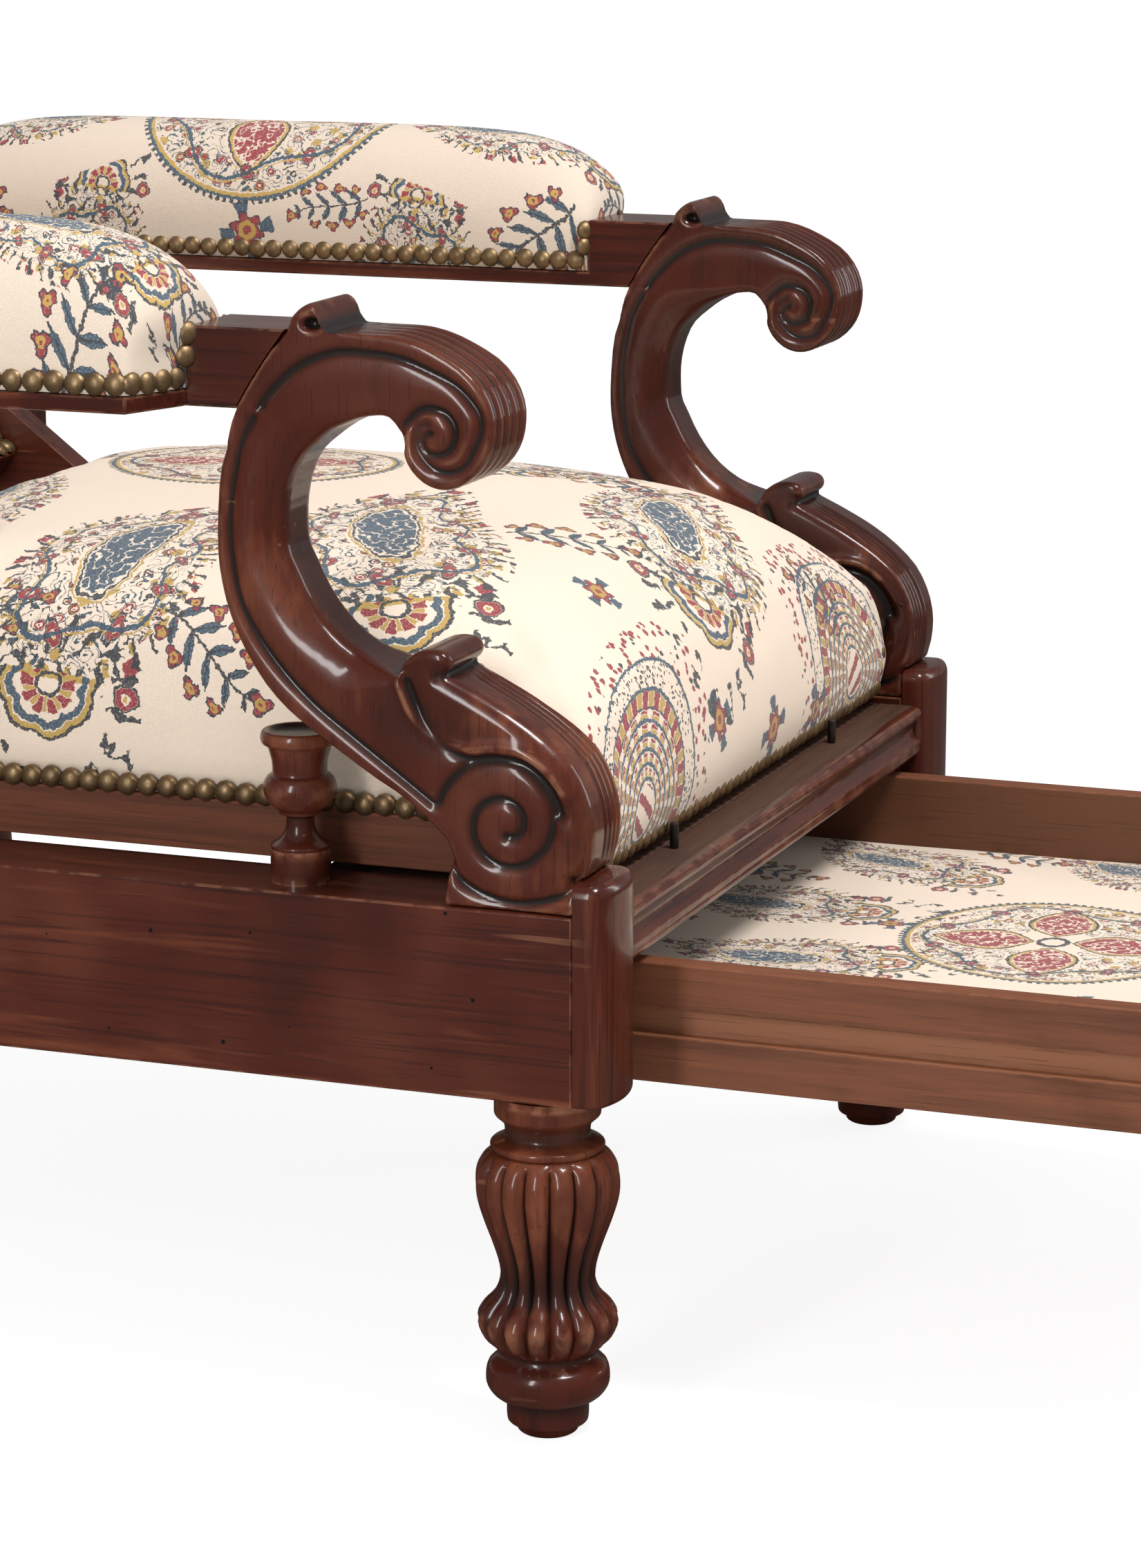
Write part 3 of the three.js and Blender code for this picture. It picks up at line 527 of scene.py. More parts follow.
def draw_boteh(sh, inks, spot, p, q):
    """The large leaf: a blue heart, a ring of vine and flowers, a spiky edge and a fan below."""
    ragged = sh.noise(spot, 7.0, 2.0)
    rough = ragged - 0.5
    shape, x = leaning_leaf(p, q, 0.38, 0.58, 0.17)
    shape = shape + rough * 0.1
    angle = sh.angle(q, x)
    filigree(sh, inks, spot, 9.0, shape.near(0.74, 0.3))
    heart = ((x * 2.0) ** 2.0 + (q - 0.06) * (q - 0.06) * 0.62).root() + rough * 0.2
    veins = (q * 4.5 - abs(x) * 8.0 + ragged * 4.0).part()
    inks.lay("bare", heart.below(0.4))
    inks.lay("vine", heart.below(0.36) * (1.0 - veins.near(0.5, 0.08)))
    inks.lay("rose", sh.cells(spot, 11.0).below(0.24) * heart.below(0.3))
    inks.lay("gold", heart.near(0.45, 0.014))
    inks.lay("line", heart.near(0.4, 0.016))
    vine_ring(inks, shape, angle, 0.8, 0.11, 5.5, 0.021, shape.above(0.45) * q.above(-0.86))
    spikes(inks, shape, angle, 0.96, 0.24, 46.0, ragged)
    draw_fan(sh, inks, p, q, ragged)
    for u, v in ((0.5, -1.12), (-0.6, -1.08)):
        far = away(p - u, q - v)
        rosette(inks, far + rough * 0.1, 0.085, far.below(0.14))


def draw_fan(sh, inks, p, q, ragged):
    """The scalloped fan at the foot of a boteh, with a spray of dark strokes below it."""
    foot = away(p + 0.06, q + 1.1) * 1.15 + (ragged - 0.5) * 0.06
    turn = sh.angle(q + 1.12, p + 0.06)
    scallop = abs((turn * 3.5).sine()) * 0.045
    lower = q.below(-1.02)
    petals = (turn * 9.0).sine()
    rim = foot.near(scallop + 0.335, 0.024).most(q.near(-1.04, 0.025) * foot.below(0.36))
    inks.lay("bare", foot.below(scallop + 0.36) * lower)
    inks.lay("gold", rim * lower)
    inks.lay("vine", foot.near(scallop + 0.27, 0.03) * lower)
    inks.lay("rose", foot.near(0.17, 0.055) * petals.above(-0.2) * lower)
    inks.lay("gold", foot.near(0.15, 0.06) * petals.below(-0.5) * lower)
    inks.lay("line", foot.near(scallop + 0.365, 0.014).most(foot.near(0.09, 0.016)) * lower)
    spray = away(p * 1.1, q + 1.3)
    strokes = (turn * 16.0 + ragged * 8.0).sine().above(0.6) * ragged.above(0.46)
    inks.lay("dark", spray.near(0.55, 0.14) * strokes)


SPRIG_LEAVES = ((-0.78, 0.46), (-0.4, 0.5), (0.0, 0.44), (0.4, 0.36), (0.74, 0.24))
SPRIG_FLOWERS = (
    (0.42, -0.34, 0.12), (0.48, 0.1, 0.11), (0.4, 0.5, 0.1), (0.0, 1.0, 0.13), (0.3, -0.72, 0.1))


def draw_sprig(sh, inks, spot, p, q):
    """A leaning branch with paired leaves, buds at their tips and flowers."""
    ragged = sh.noise(spot, 6.0, 2.0)
    rough = ragged - 0.5
    side = abs(p - (q * 2.2).sine() * 0.14 + rough * 0.08)
    inks.lay("dark", side.below(0.022) * q.near(0.0, 0.95))
    slope = 0.8
    steep = 1.28
    for start, out in SPRIG_LEAVES:
        rise = q - start
        along = (side + rise * slope) / (out * steep)
        over = (rise - side * slope) / steep
        body = (along - along * along) * out * 0.62
        leaf = abs(over).below(body) * along.near(0.5, 0.5)
        inks.lay("blue", leaf * ragged.above(0.3))
        inks.lay("dark", over.near(0.0, 0.012) * along.near(0.5, 0.5))
        inks.lay("line", abs(over).near(body, 0.009) * leaf)
    for u, v, size in SPRIG_FLOWERS:
        a, b = side - u if u else p - 0.1, q - v
        far = (a * a + b * b * 0.6).root() + rough * 0.05
        petals = ((sh.angle(b, a) * 3.0 + 1.0).sine() * 0.25 + 0.9) * size
        inks.lay("red", far.below(petals))
        inks.lay("gold", far.near(size * 0.36, 0.018))
        inks.lay("line", far.near(petals, 0.012))


def draw_medallion(sh, inks, spot, p, q):
    """A round medallion: a dashed border, fine pen work, a vine and four red cartouches."""
    radius, angle = sh.reach(spot), sh.angle(q, p)
    inside = radius.below(0.9)
    inks.lay("dark", radius.near(0.975, 0.014) * (angle * 110.0).sine().above(-0.1))
    inks.lay("vine", radius.near(0.95, 0.012))
    inks.lay("gold", radius.near(0.925, 0.013))
    filigree(sh, inks, spot, 11.0, inside * radius.near(0.6, 0.32))
    vine_ring(inks, radius, angle, 0.76, 0.075, 5.0, 0.014, inside)
    a, b = abs(p), abs(q)
    gap = a.most(b) - 0.4
    lozenge = (gap.most(0.0) / 0.36 + (0.0 - gap).most(0.0) / 0.26) ** 2.0 + a.least(b) / 0.2
    figure = sh.noise(spot, 13.0, 1.0)
    figure = figure.near(0.5, 0.35) * (1.0 - figure.near(0.55, 0.035))
    inks.lay("bare", lozenge.below(1.25))
    inks.lay("rose", lozenge.below(0.9) * figure)
    inks.lay("gold", lozenge.near(1.0, 0.06))
    inks.lay("line", lozenge.near(1.1, 0.05))
    inks.lay("line", radius.near(0.09, 0.02))


def draw_corner(sh, inks, spot, p, q):
    """The striped leaf of the front corners: a dotted fringe, a stippled band and stripes."""
    shape, x = leaning_leaf(p, q, 0.35, 0.96, 0.25)
    angle = sh.angle(q, x)
    dots = sh.cells(spot, 14.0)
    pick = sh.axes(sh.cells(spot, 14.0, output="Color"))[0]
    fringe = shape.near(1.15, 0.17)
    inks.lay("red", fringe * dots.below(0.36) * pick.above(0.25))
    inks.lay("dark", fringe * dots.below(0.3) * pick.below(0.25))
    inks.lay("dark", shape.near(0.88, 0.1) * sh.cells(spot, 30.0).below(0.34))
    inks.lay("vine", shape.near(0.99, 0.014).most(shape.near(0.775, 0.014)))
    beads = (angle * 26.0).sine()
    row = shape.near(0.7, 0.06)
    inks.lay("red", row * beads.above(0.1))
    inks.lay("ochre", row * beads.below(-0.3))
    stripes = shape.near(0.42, 0.235)
    cycle = (shape * 11.0).part()
    teeth = (angle * 22.0).sine()
    inks.lay("blue", stripes * cycle.below(0.32))
    inks.lay("ochre", stripes * cycle.near(0.48, 0.14) * teeth.above(-0.5))
    inks.lay("red", stripes * cycle.near(0.8, 0.12) * teeth.above(-0.2))
    inks.lay("red", shape.below(0.17) * (q * 40.0 + p * 14.0).sine().above(0.2))


def draw_blossom(sh, inks, spot, p, q):
    """A small flower between leaves."""
    radius, angle = sh.reach(spot), sh.angle(q, p)
    petals = (angle * 6.0).sine() * 0.12 + 0.5
    inks.lay("blue", radius.near(0.75, 0.25) * (angle * 4.0 + 0.6).sine().above(0.4))
    inks.lay("red", radius.below(petals))
    inks.lay("gold", radius.near(0.24, 0.09))
    inks.lay("line", radius.near(petals + 0.03, 0.035))


MOTIFS = {
    "sprig": draw_sprig, "blossom": draw_blossom, "boteh": draw_boteh, "corner": draw_corner,
    "medallion": draw_medallion,
}

# Where each cloth's motifs lie: millimetres to the right and up, a turn in degrees, the size in
# millimetres, and -1 where the motif is mirrored
PRINTS = {
    "seat": {
        "medallion": [(40, -27, 20, 97, 1)],
        "boteh": [
            (-208, -50, -95, 92, 1), (-133, -192, -62, 100, 1), (-112, 98, -100, 90, -1),
            (52, -312, -51, 92, 1), (196, -165, -60, 92, 1), (210, 10, 80, 92, -1),
            (120, 165, 60, 90, 1), (-60, 230, -80, 90, 1)],
        "sprig": [
            (-282, -135, 150, 46, 1), (-262, 22, 200, 44, 1), (-66, -285, 220, 42, 1),
            (120, -240, 30, 40, 1), (290, -90, 30, 44, -1), (40, 110, 20, 44, 1),
            (-200, 190, 60, 44, -1), (160, -395, 70, 40, 1)],
        "corner": [(-206, -456, -24, 94, 1), (208, -452, 24, 94, -1)],
        "blossom": [
            (33, -467, 0, 22, 1), (-70, -440, 0, 20, 1), (125, -470, 20, 20, 1),
            (-130, -330, 0, 17, 1)],
    },
    "arm": {
        "medallion": [(18, 0, 0, 100, 1)],
        "boteh": [
            (-134, 122, 84, 60, 1), (-136, -128, 84, 60, -1), (4, -176, 14, 66, 1),
            (4, 176, 165, 66, -1), (118, 96, -90, 62, 1), (118, -104, -90, 62, -1)],
        "sprig": [
            (-84, -222, 60, 46, 1), (84, -214, 120, 50, 1), (-78, 218, 110, 46, -1),
            (80, 204, 20, 46, 1), (20, -286, 90, 40, 1), (-80, -66, 20, 30, 1)],
        "blossom": [(-99, -2, 0, 21, 1), (94, -8, 0, 20, 1)],
    },
    "back": {
        "medallion": [(0, 30, 0, 100, 1)],
        "boteh": [
            (-165, -120, 20, 86, 1), (165, -120, -20, 86, -1), (-165, 190, 160, 86, 1),
            (165, 190, 200, 86, -1)],
        "sprig": [
            (0, -150, 0, 50, 1), (-190, 35, 20, 46, 1), (190, 35, -20, 46, -1),
            (0, 200, 0, 46, 1)],
        "blossom": [(-80, -215, 0, 22, 1), (80, -215, 0, 22, 1), (0, -235, 0, 20, 1)],
    },
    "footrest": {
        "medallion": [(21, -77, 5, 97, 1)],
        "boteh": [
            (184, 76, -20, 62, 1), (214, -84, -16, 62, 1), (54, 124, 4, 62, 1),
            (-74, 72, 14, 62, 1), (-190, -60, 190, 62, 1), (-176, 140, 10, 62, 1),
            (-150, -230, 170, 62, 1), (90, -255, 0, 62, -1), (120, 250, 0, 62, 1),
            (-60, 262, 10, 62, 1)],
        "sprig": [
            (133, 140, 170, 36, 1), (-2, 190, 190, 36, 1), (232, 0, 170, 34, 1),
            (-130, -10, 10, 38, 1), (-60, -240, 40, 38, 1), (190, -190, 60, 38, 1),
            (-200, 220, 30, 38, 1)],
        "blossom": [(-110, -130, 0, 18, 1), (132, -160, 0, 18, 1), (30, 30, 0, 14, 1)],
    },
}


def cloth_material(name, print_name, painted_shade=1.0):
    """Cream twill with a traditional leaf print, read from the piece's own cloth coordinates."""
    look = settings().cloth
    sh = new_material(name)
    cloth = sh.node("ShaderNodeUVMap", {"uv_map": "cloth"}).outputs[0]
    wobble = sh.node("ShaderNodeTexNoise", {"noise_dimensions": "2D"}, {
        "Vector": cloth, "Scale": 320.0, "Detail": 2.0}).outputs[1]
    shaky = sh.node("ShaderNodeVectorMath", {"operation": "MULTIPLY_ADD"}, {
        0: wobble, 1: (0.0032, 0.0032, 0.0), 2: cloth}).outputs[0]
    inks = Inks()
    for kind, places in PRINTS[print_name].items():
        spot = nearest_motif(sh, shaky, places)
        p, q, _ = sh.axes(spot)
        MOTIFS[kind](sh, inks, spot, p, q)
    soil = sh.noise(cloth, 7.0, 3.0)
    # Painted shade: the whole cloth of a piece that lies in shade is darkened
    cream = scaled(look.cream, painted_shade)
    base = ground = sh.blend(soil.ramp(0.45, 0.8) * 0.3, cream, scaled(cream, 0.82))
    uneven = sh.noise(cloth, 700.0, 2.0).ramp(0.3, 0.55, 0.78, 1.0)
    for layer, ink in LAYERS:
        if ink:
            base = sh.blend(inks.layers[layer] * uneven, base, getattr(look, ink))
        else:
            base = sh.blend(inks.layers[layer], base, ground)
    u, v, _ = sh.axes(cloth)
    ribs = ((u + v) * (2 * math.pi / look.weave)).sine()
    yarn = ((u - v * 0.4) * (2 * math.pi / look.weave * 2.1)).sine()
    weave = ribs * 0.7 + yarn * 0.3
    base = sh.blend(weave.ramp(-1.0, 1.0, 0.16, 0.0), base, scaled(look.cream, 0.4))
    slubs = sh.noise(sh.mapped(cloth, scale=(1.0, 0.08, 1.0)), 900.0, 2.0)
    soft = sh.bump(sh.noise(cloth, 26.0, 2.0), 0.0012, 0.25)
    normal = sh.bump(weave * 0.6 + slubs * 0.8, 0.00022, 0.5, soft)
    return sh.finish(base_color=base, roughness=0.88, normal=normal, sheen_weight=0.12)


# ---------------------------------------------------------------- mesh helpers


def mesh_of(name, bm):
    """A mesh from a bmesh, which is freed."""
    mesh = bpy.data.meshes.new(name)
    bm.to_mesh(mesh)
    bm.free()
    return mesh


def put(name, data):
    """A new object in the scene."""
    made = bpy.data.objects.new(name, data)
    bpy.context.scene.collection.objects.link(made)
    return made


def new_piece(name, bm, material, body, slot, nodes, smooth):
    """Puts a bmesh into the scene as a piece that rides on a body and stands for CAD nodes.
    Edges sharper than smooth, in degrees, stay sharp; with None there are none."""
    mesh = mesh_of(name, bm)
    mesh.materials.append(material)
    for polygon in mesh.polygons:
        polygon.use_smooth = True
    if smooth:
        mesh.set_sharp_from_angle(angle=math.radians(smooth))
    piece = put(name, mesh)
    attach(piece, body)
    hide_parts(*nodes)
    return piece


def merged_copy(node):
    """A closed copy of a CAD node's loose triangles."""
    bm = bmesh.new()
    bm.from_mesh(frame["nodes"][node].data)
    bmesh.ops.remove_doubles(bm, verts=bm.verts, dist=0.00001)
    bmesh.ops.dissolve_limit(bm, angle_limit=math.radians(0.6), verts=bm.verts, edges=bm.edges)
    return bm


def body_of_node(node):
    return frame["nodes"][node]["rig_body"]


def family(node):
    """A node's name without its side."""
    return node.removesuffix("_right").removesuffix("_left")


def border_edges(bm):
    return [edge for edge in bm.edges if edge.is_boundary]


def close(bm):
    """Fills a surface's open border and turns its faces outward."""
    bmesh.ops.holes_fill(bm, edges=border_edges(bm), sides=0)
    bmesh.ops.recalc_face_normals(bm, faces=bm.faces)


def soften(bm, width, sharp=28.0, steps=2, behind=-math.inf):
    """Bevels a copy's sharp edges behind a plane and marks the bevels as edges that wear."""
    edges = [e for e in bm.edges if e.is_manifold and e.calc_face_angle(0.0) > math.radians(sharp)
             and max(v.co.y for v in e.verts) > behind]
    mark = bm.faces.layers.float.new("edge")
    made = bmesh.ops.bevel(
        bm, geom=edges, offset=width, offset_type="OFFSET", segments=steps, profile=0.5,
        affect="EDGES", clamp_overlap=True, material=-1)
    for face in made["faces"]:
        face[mark] = 1.0


def flatten_normals(piece):
    """Keeps wide faces flat and lets the light turn only on the softened edges."""
    modifier = piece.modifiers.new("Flat faces", "WEIGHTED_NORMAL")
    modifier.keep_sharp = True
    modifier.weight = 90


def read_points(mesh, what="co"):
    values = np.zeros(len(mesh.vertices) * 3)
    mesh.vertices.foreach_get(what, values)
    return values.reshape(-1, 3)


# Each scale's attribute, rounds of smoothing, and share of the reach that counts as hollow; both
# scales carry painted shade, the fine one with grime
HOLLOW_SCALES = (("hollow", 7, 1), ("broad_shade", 70, 5))


def mark_hollows(mesh, reach):
    """Writes how hollow the surface is at each point as a share of reach, finely for grime with
    painted shade and for rubbed edges, and broadly for painted shade."""
    points, normals = read_points(mesh), read_points(mesh, "normal")
    edges = np.zeros(len(mesh.edges) * 2, int)
    mesh.edges.foreach_get("vertices", edges)
    first, second = edges.reshape(-1, 2).T
    total = len(points)
    count = np.bincount(edges, minlength=total).clip(1)

    def around(values):
        return (np.bincount(first, values[second], total)
                + np.bincount(second, values[first], total)) / count

    smooth = points.T.copy()
    rounds = 0
    for name, until, wider in HOLLOW_SCALES:
        while rounds < until:
            smooth = np.stack([axis * 0.4 + around(axis) * 0.6 for axis in smooth])
            rounds += 1
        lift = ((smooth.T - points) * normals).sum(1) / (reach * wider)
        for _ in range(2):
            lift = lift * 0.5 + around(lift) * 0.5
        layer = mesh.attributes.new(name, "FLOAT", "POINT")
        layer.data.foreach_set("value", lift.clip(-1.5, 1.5).astype(np.float32))


def rounded(points, steps):
    """A smooth run of points through given ones; a repeated point keeps a corner."""
    points = np.array([points[0], *points, points[-1]], float)
    run = []
    for before, a, b, after in zip(points, points[1:], points[2:], points[3:]):
        if (a == b).all():
            continue
        for t in np.arange(steps) / steps:
            run.append(0.5 * (2 * a + (b - before) * t
                              + (2 * before - 5 * a + 4 * b - after) * t * t
                              + (3 * a - before - 3 * b + after) * t ** 3))
    return np.array(run + [points[-1]])


def turning(profile, steps):
    """Spins a profile of (radius, height) in millimetres about Z into a closed solid."""
    bm = bmesh.new()
    verts = [bm.verts.new((max(0.0, r) * MM, 0.0, z * MM)) for r, z in rounded(profile, 3)]
    edges = [bm.edges.new(pair) for pair in zip(verts, verts[1:])]
    bmesh.ops.spin(
        bm, geom=verts + edges, cent=(0, 0, 0), axis=(0, 0, 1), dvec=(0, 0, 0),
        angle=2 * math.pi, steps=steps, use_merge=True, use_duplicate=False)
    bmesh.ops.remove_doubles(bm, verts=bm.verts, dist=0.00002)
    bmesh.ops.recalc_face_normals(bm, faces=bm.faces)
    return bm


# ---------------------------------------------------------------- joinery

# The way the grain runs in the pieces that are polished, and in those that are not
POLISHED = {
    "X": ("front_rail", "rear_rail", "back_rest_bar", "back_lower_rail", "back_crest",
          "footrest_front"),
    "Y": ("arm_rail", "arm_board"),
    "Z": ("rear_post",),
}
UNPOLISHED = {
    "X": ("rear_bearer", "seat_front_rail", "seat_rear_rail", "footrest_board"),
    "Y": ("seat_glide", "footrest_runner"),
}
GROOVE_LOW, GROOVE_HIGH = 0.2225, 0.2401
ARM_JOINT = at(0, 232, 0).y


def post_plan(half, depth, bow, corner):
    """A front post from above: a bowed front that turns into the sides by round corners."""
    front = (half ** 2 + bow ** 2) / (2 * bow)
    setback = front - math.sqrt((front - corner) ** 2 - (half - corner) ** 2)
    turn = math.atan2(half - corner, front - setback)
    plan = [(half, 0.0)]
    for k in range(7):
        angle = (math.pi / 2 - turn) * k / 6
        plan.append((half - corner + corner * math.cos(angle),
                     setback - depth - corner * math.sin(angle)))
    for k in range(1, 9):
        angle = turn * (1 - k / 8)
        plan.append((front * math.sin(angle), front - depth - front * math.cos(angle)))
    return plan + [(-x, y) for x, y in reversed(plan[:-1])]


def bowed_post(low, high, bow, corner, cap):
    """A block with a bowed front, and a cap and a foot that round over towards it."""
    half, depth, tall = (high.x - low.x) / 2, high.y - low.y, high.z - low.z
    plan = post_plan(half, depth, bow, corner)
    turns = [k * math.pi / 12 for k in range(7)]
    rings = [(cap * (1 - math.sin(turn)), cap * (1 - math.cos(turn))) for turn in turns]
    foot = 0.4
    levels = [(drop * foot, inset * foot) for inset, drop in rings]
    levels += [(tall - drop, inset) for inset, drop in rings]
    bm = bmesh.new()
    loops = []
    for z, inset in sorted(levels):
        keep = 1 - inset / half
        loops.append([bm.verts.new(((low.x + high.x) / 2 + x * keep, high.y + y * keep, low.z + z))
                      for x, y in plan])
    for lower, upper in zip(loops, loops[1:]):
        for k in range(len(plan)):
            j = (k + 1) % len(plan)
            bm.faces.new((lower[k], lower[j], upper[j], upper[k]))
    bm.faces.new(loops[0])
    bm.faces.new(loops[-1])
    bmesh.ops.recalc_face_normals(bm, faces=bm.faces)
    return bm


def mark_drawer_side(bm, sign):
    """Marks the runner's groove, where the wood is rubbed bare, and the inner face, darkened with
    painted shade.
    """
    run, inner = bm.faces.layers.float.new("worn_run"), bm.faces.layers.float.new("inside")
    for face in bm.faces:
        height = face.calc_center_median().z
        face[run] = float(GROOVE_LOW < height < GROOVE_HIGH and abs(face.normal.y) < 0.5)
        # Painted shade: inner faces of the drawer sides are marked to be darkened
        face[inner] = float(face.normal.x * sign < -0.9)


class ARMCHAIR_OT_joinery(bpy.types.Operator):
    """Softens and finishes the rails, posts, boards and arms"""

    bl_idname = "armchair.joinery"
    bl_label = "Joinery"

    def execute(self, context):
        look = settings().wood
        shelf = bare_material("Unpolished mahogany", "X", look.shelf)
        finishes = {
            "side_rail": (wood_material("Mahogany with worm holes", "Y", wormed=True), "mahogany"),
            "back_stile": (wood_material("Mahogany of the stiles", "Y"), "mahogany"),
            "seat_side_rail": (bare_material("Worn mahogany", "Y", look.rail), "mahogany"),
            "footrest_side": (
                bare_material("Drawer sides", "Y", look.drawer, groove=True), "drawer_wood"),
            "seat_shelf": (shelf, "drawer_wood"),
            "footrest_back": (shelf, "drawer_wood"),
        }
        for axis, kinds in POLISHED.items():
            polished = wood_material("Mahogany along " + axis, axis)
            finishes.update({kind: (polished, "mahogany") for kind in kinds})
        for axis, kinds in UNPOLISHED.items():
            bare = bare_material("Bare wood along " + axis, axis, look.bare)
            finishes.update({kind: (bare, "secondary_wood") for kind in kinds})
        for name, _ in SIDES:
            node = "front_post_" + name
            bm = bowed_post(*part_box(node), look.post_bow, look.post_corner, look.post_dome)
            new_piece("finished_" + node, bm, finishes["rear_post"][0], "frame", "mahogany",
                      [node], smooth=50)
        for node in sorted(frame["nodes"]):
            kind = family(node)
            if kind not in finishes:
                continue
            material, slot = finishes[kind]
            bm = merged_copy(node)
            if kind == "footrest_side":
                mark_drawer_side(bm, 1 if node.endswith("left") else -1)
            soften(bm, look.arris, behind=ARM_JOINT if kind == "arm_rail" else -math.inf)
            piece = new_piece(node + "_finished", bm, material, body_of_node(node), slot, [node],
                              smooth=50)
            flatten_normals(piece)
            if kind == "front_rail":
                # Its flat top is part of the unpolished shelf
                piece.data.materials.append(shelf)
                for polygon in piece.data.polygons:
                    polygon.material_index = int(polygon.normal.z > 0.99 and polygon.area > 0.01)
        return {"FINISHED"}


# ---------------------------------------------------------------- carving


def spiral(centre, turns):
    """A smooth spiral through given radii at angles in degrees."""
    angles = np.arange(turns[0][0], turns[-1][0], 6.0)
    radii = np.interp(angles, *zip(*turns))
    around = np.radians(angles)
    return np.stack([centre[0] + radii * np.cos(around), centre[1] + radii * np.sin(around)], 1)


# Lines of the carving in millimetres behind the post's face and above the floor
REAR_BEAD = rounded([
    (207, 584), (199, 594), (186, 606), (173, 613), (158, 617), (141, 617), (123, 615),
    (106, 609), (91, 602), (81, 593), (76, 585), (76, 576), (80, 566), (86, 557), (95, 554),
    (104, 556), (111, 562), (114, 568), (113, 577), (107, 580)], 8)
BACK_BEAD = rounded([
    (210, 579), (218, 564), (222, 548), (225, 531), (226, 513), (225, 500), (221, 478),
    (212, 459), (196, 438), (177, 420), (155, 404), (135, 390), (118, 378), (104, 368)], 8)
UPPER_SPIRAL = rounded([
    (123, 566), (122, 576), (116, 583), (109, 588), (101, 588), (95, 585), (91, 579), (91, 572),
    (94, 566), (101, 563), (107, 564), (110, 569), (109, 573), (105, 575)], 8)
LEAF_EDGE = rounded([
    (121, 436), (116, 424), (110, 413), (98, 403), (83, 396), (70, 397), (56, 396), (45, 391),
    (35, 381), (30, 368)], 8)
LEAF_BEAD = rounded([
    (127, 444), (122, 430), (116, 418), (104, 407), (88, 400), (72, 402), (56, 402), (40, 394),
    (26, 378)], 8)
CRADLE = rounded([(100, 347), (87, 325), (56, 316), (23, 326), (7, 351), (4, 367)], 8)
LOWER_VOLUTE = spiral((61, 357), [
    (16, 42.5), (60, 41), (100, 37.5), (140, 32), (180, 26), (220, 22), (270, 20.5), (330, 20.5),
    (390, 20), (440, 18), (480, 14.5), (520, 10.5), (560, 7), (600, 4.5), (640, 3)])

# The grooves, with shares of the usual depth and width
GROOVES = (
    (REAR_BEAD, 1.0, 1.0), (BACK_BEAD, 0.9, 1.0), (UPPER_SPIRAL, 1.15, 1.0),
    (LEAF_EDGE, 1.35, 1.3), (CRADLE, 1.1, 1.2), (LOWER_VOLUTE, 1.0, 1.0),
)


def line_distance(spots, line):
    """How far each (y, z) spot lies from a line, and the nearest point and share along it."""
    best = np.full(len(spots), 1e9)
    near = np.zeros_like(spots)
    along = np.zeros(len(spots))
    total = len(line) - 1
    for k in range(total):
        a, b = line[k], line[k + 1]
        d = b - a
        size = (d * d).sum()
        if size < 1e-12:
            continue
        t = (((spots - a) @ d) / size).clip(0, 1)
        foot = a + t[:, None] * d
        gap = np.hypot(*(spots - foot).T)
        closer = gap < best
        best[closer] = gap[closer]
        near[closer] = foot[closer]
        along[closer] = (k + t[closer]) / total
    return best, near, along


def side_outline(node, sign):
    """The scroll's closed outline on one of its flat sides, as (y, z) in millimetres."""
    bm = merged_copy(node)
    flat = max((f for f in bm.faces if f.normal.x * sign > 0.99), key=lambda f: f.calc_area())
    points = [((v.co.y - POST_FACE) / MM, v.co.z / MM) for v in flat.verts]
    bm.free()
    return np.array(points + points[:1])


def unit(vectors):
    return vectors / np.hypot(*vectors.T).clip(1e-9)[:, None]


def inward_normals(outline, along):
    """The direction into the wood at shares along its closed outline, turning smoothly past
    the corners."""
    run = np.diff(outline, axis=0)
    (y0, z0), (y1, z1) = outline[:-1].T, outline[1:].T
    turn = np.sign((y0 * z1 - y1 * z0).sum())
    normals = unit(np.stack([-run[:, 1], run[:, 0]], 1) * turn)
    corners = normals + np.roll(normals, 1, axis=0)
    corners = np.vstack([corners, corners[:1]])
    where = along * len(run)
    first = where.astype(int).clip(0, len(run) - 1)
    share = (where - first)[:, None]
    return unit(corners[first] * (1 - share) + corners[first + 1] * share)


def bell(distance, width):
    return np.exp(-((distance / width) ** 2))


def step_up(value, low, high):
    """0 below low, 1 above high and a smooth step between."""
    t = ((value - low) / (high - low)).clip(0, 1)
    return t * t * (3 - 2 * t)


def step_down(value, low, high):
    return step_up(-value, -high, -low)


def round_over(a, b, wide, deep):
    """Rounds the corner between two faces, given each point's distances from them and the
    rounding's sizes."""
    u, v = a / wide, b / deep
    inside = (u < 1) & (v < 1)
    span = np.hypot(u - 1, v - 1).clip(1e-6)
    return (np.where(inside, (1 + (u - 1) / span) * wide, a),
            np.where(inside, (1 + (v - 1) / span) * deep, b))


def rounding_sizes(y, z, outer):
    """How wide and how deep the rounded edge is beside each point of the outline."""
    inner_c = step_up(y, 124, 136) * step_down(z, 560, 584) * step_up(z, 436, 450) * (y < 200)
    volute = step_down(y, 20, 60) * step_down(z, 420, 440) * step_up(z, 318, 335) * outer
    leaf = step_down(z, 440, 456) * step_up(z, 395, 420) * step_down(y, 100, 126)
    base = step_down(z, 316, 322)
    joint = step_up(y, 194, 200) * step_up(z, 560, 566) * step_down(z, 620, 626)
    plain = 4.5 - 2.5 * base - 3.4 * joint
    return (plain + 20.0 * inner_c + 9.0 * volute + 5.0 * leaf,
            plain + 12.0 * inner_c + 8.0 * volute + 4.0 * leaf)


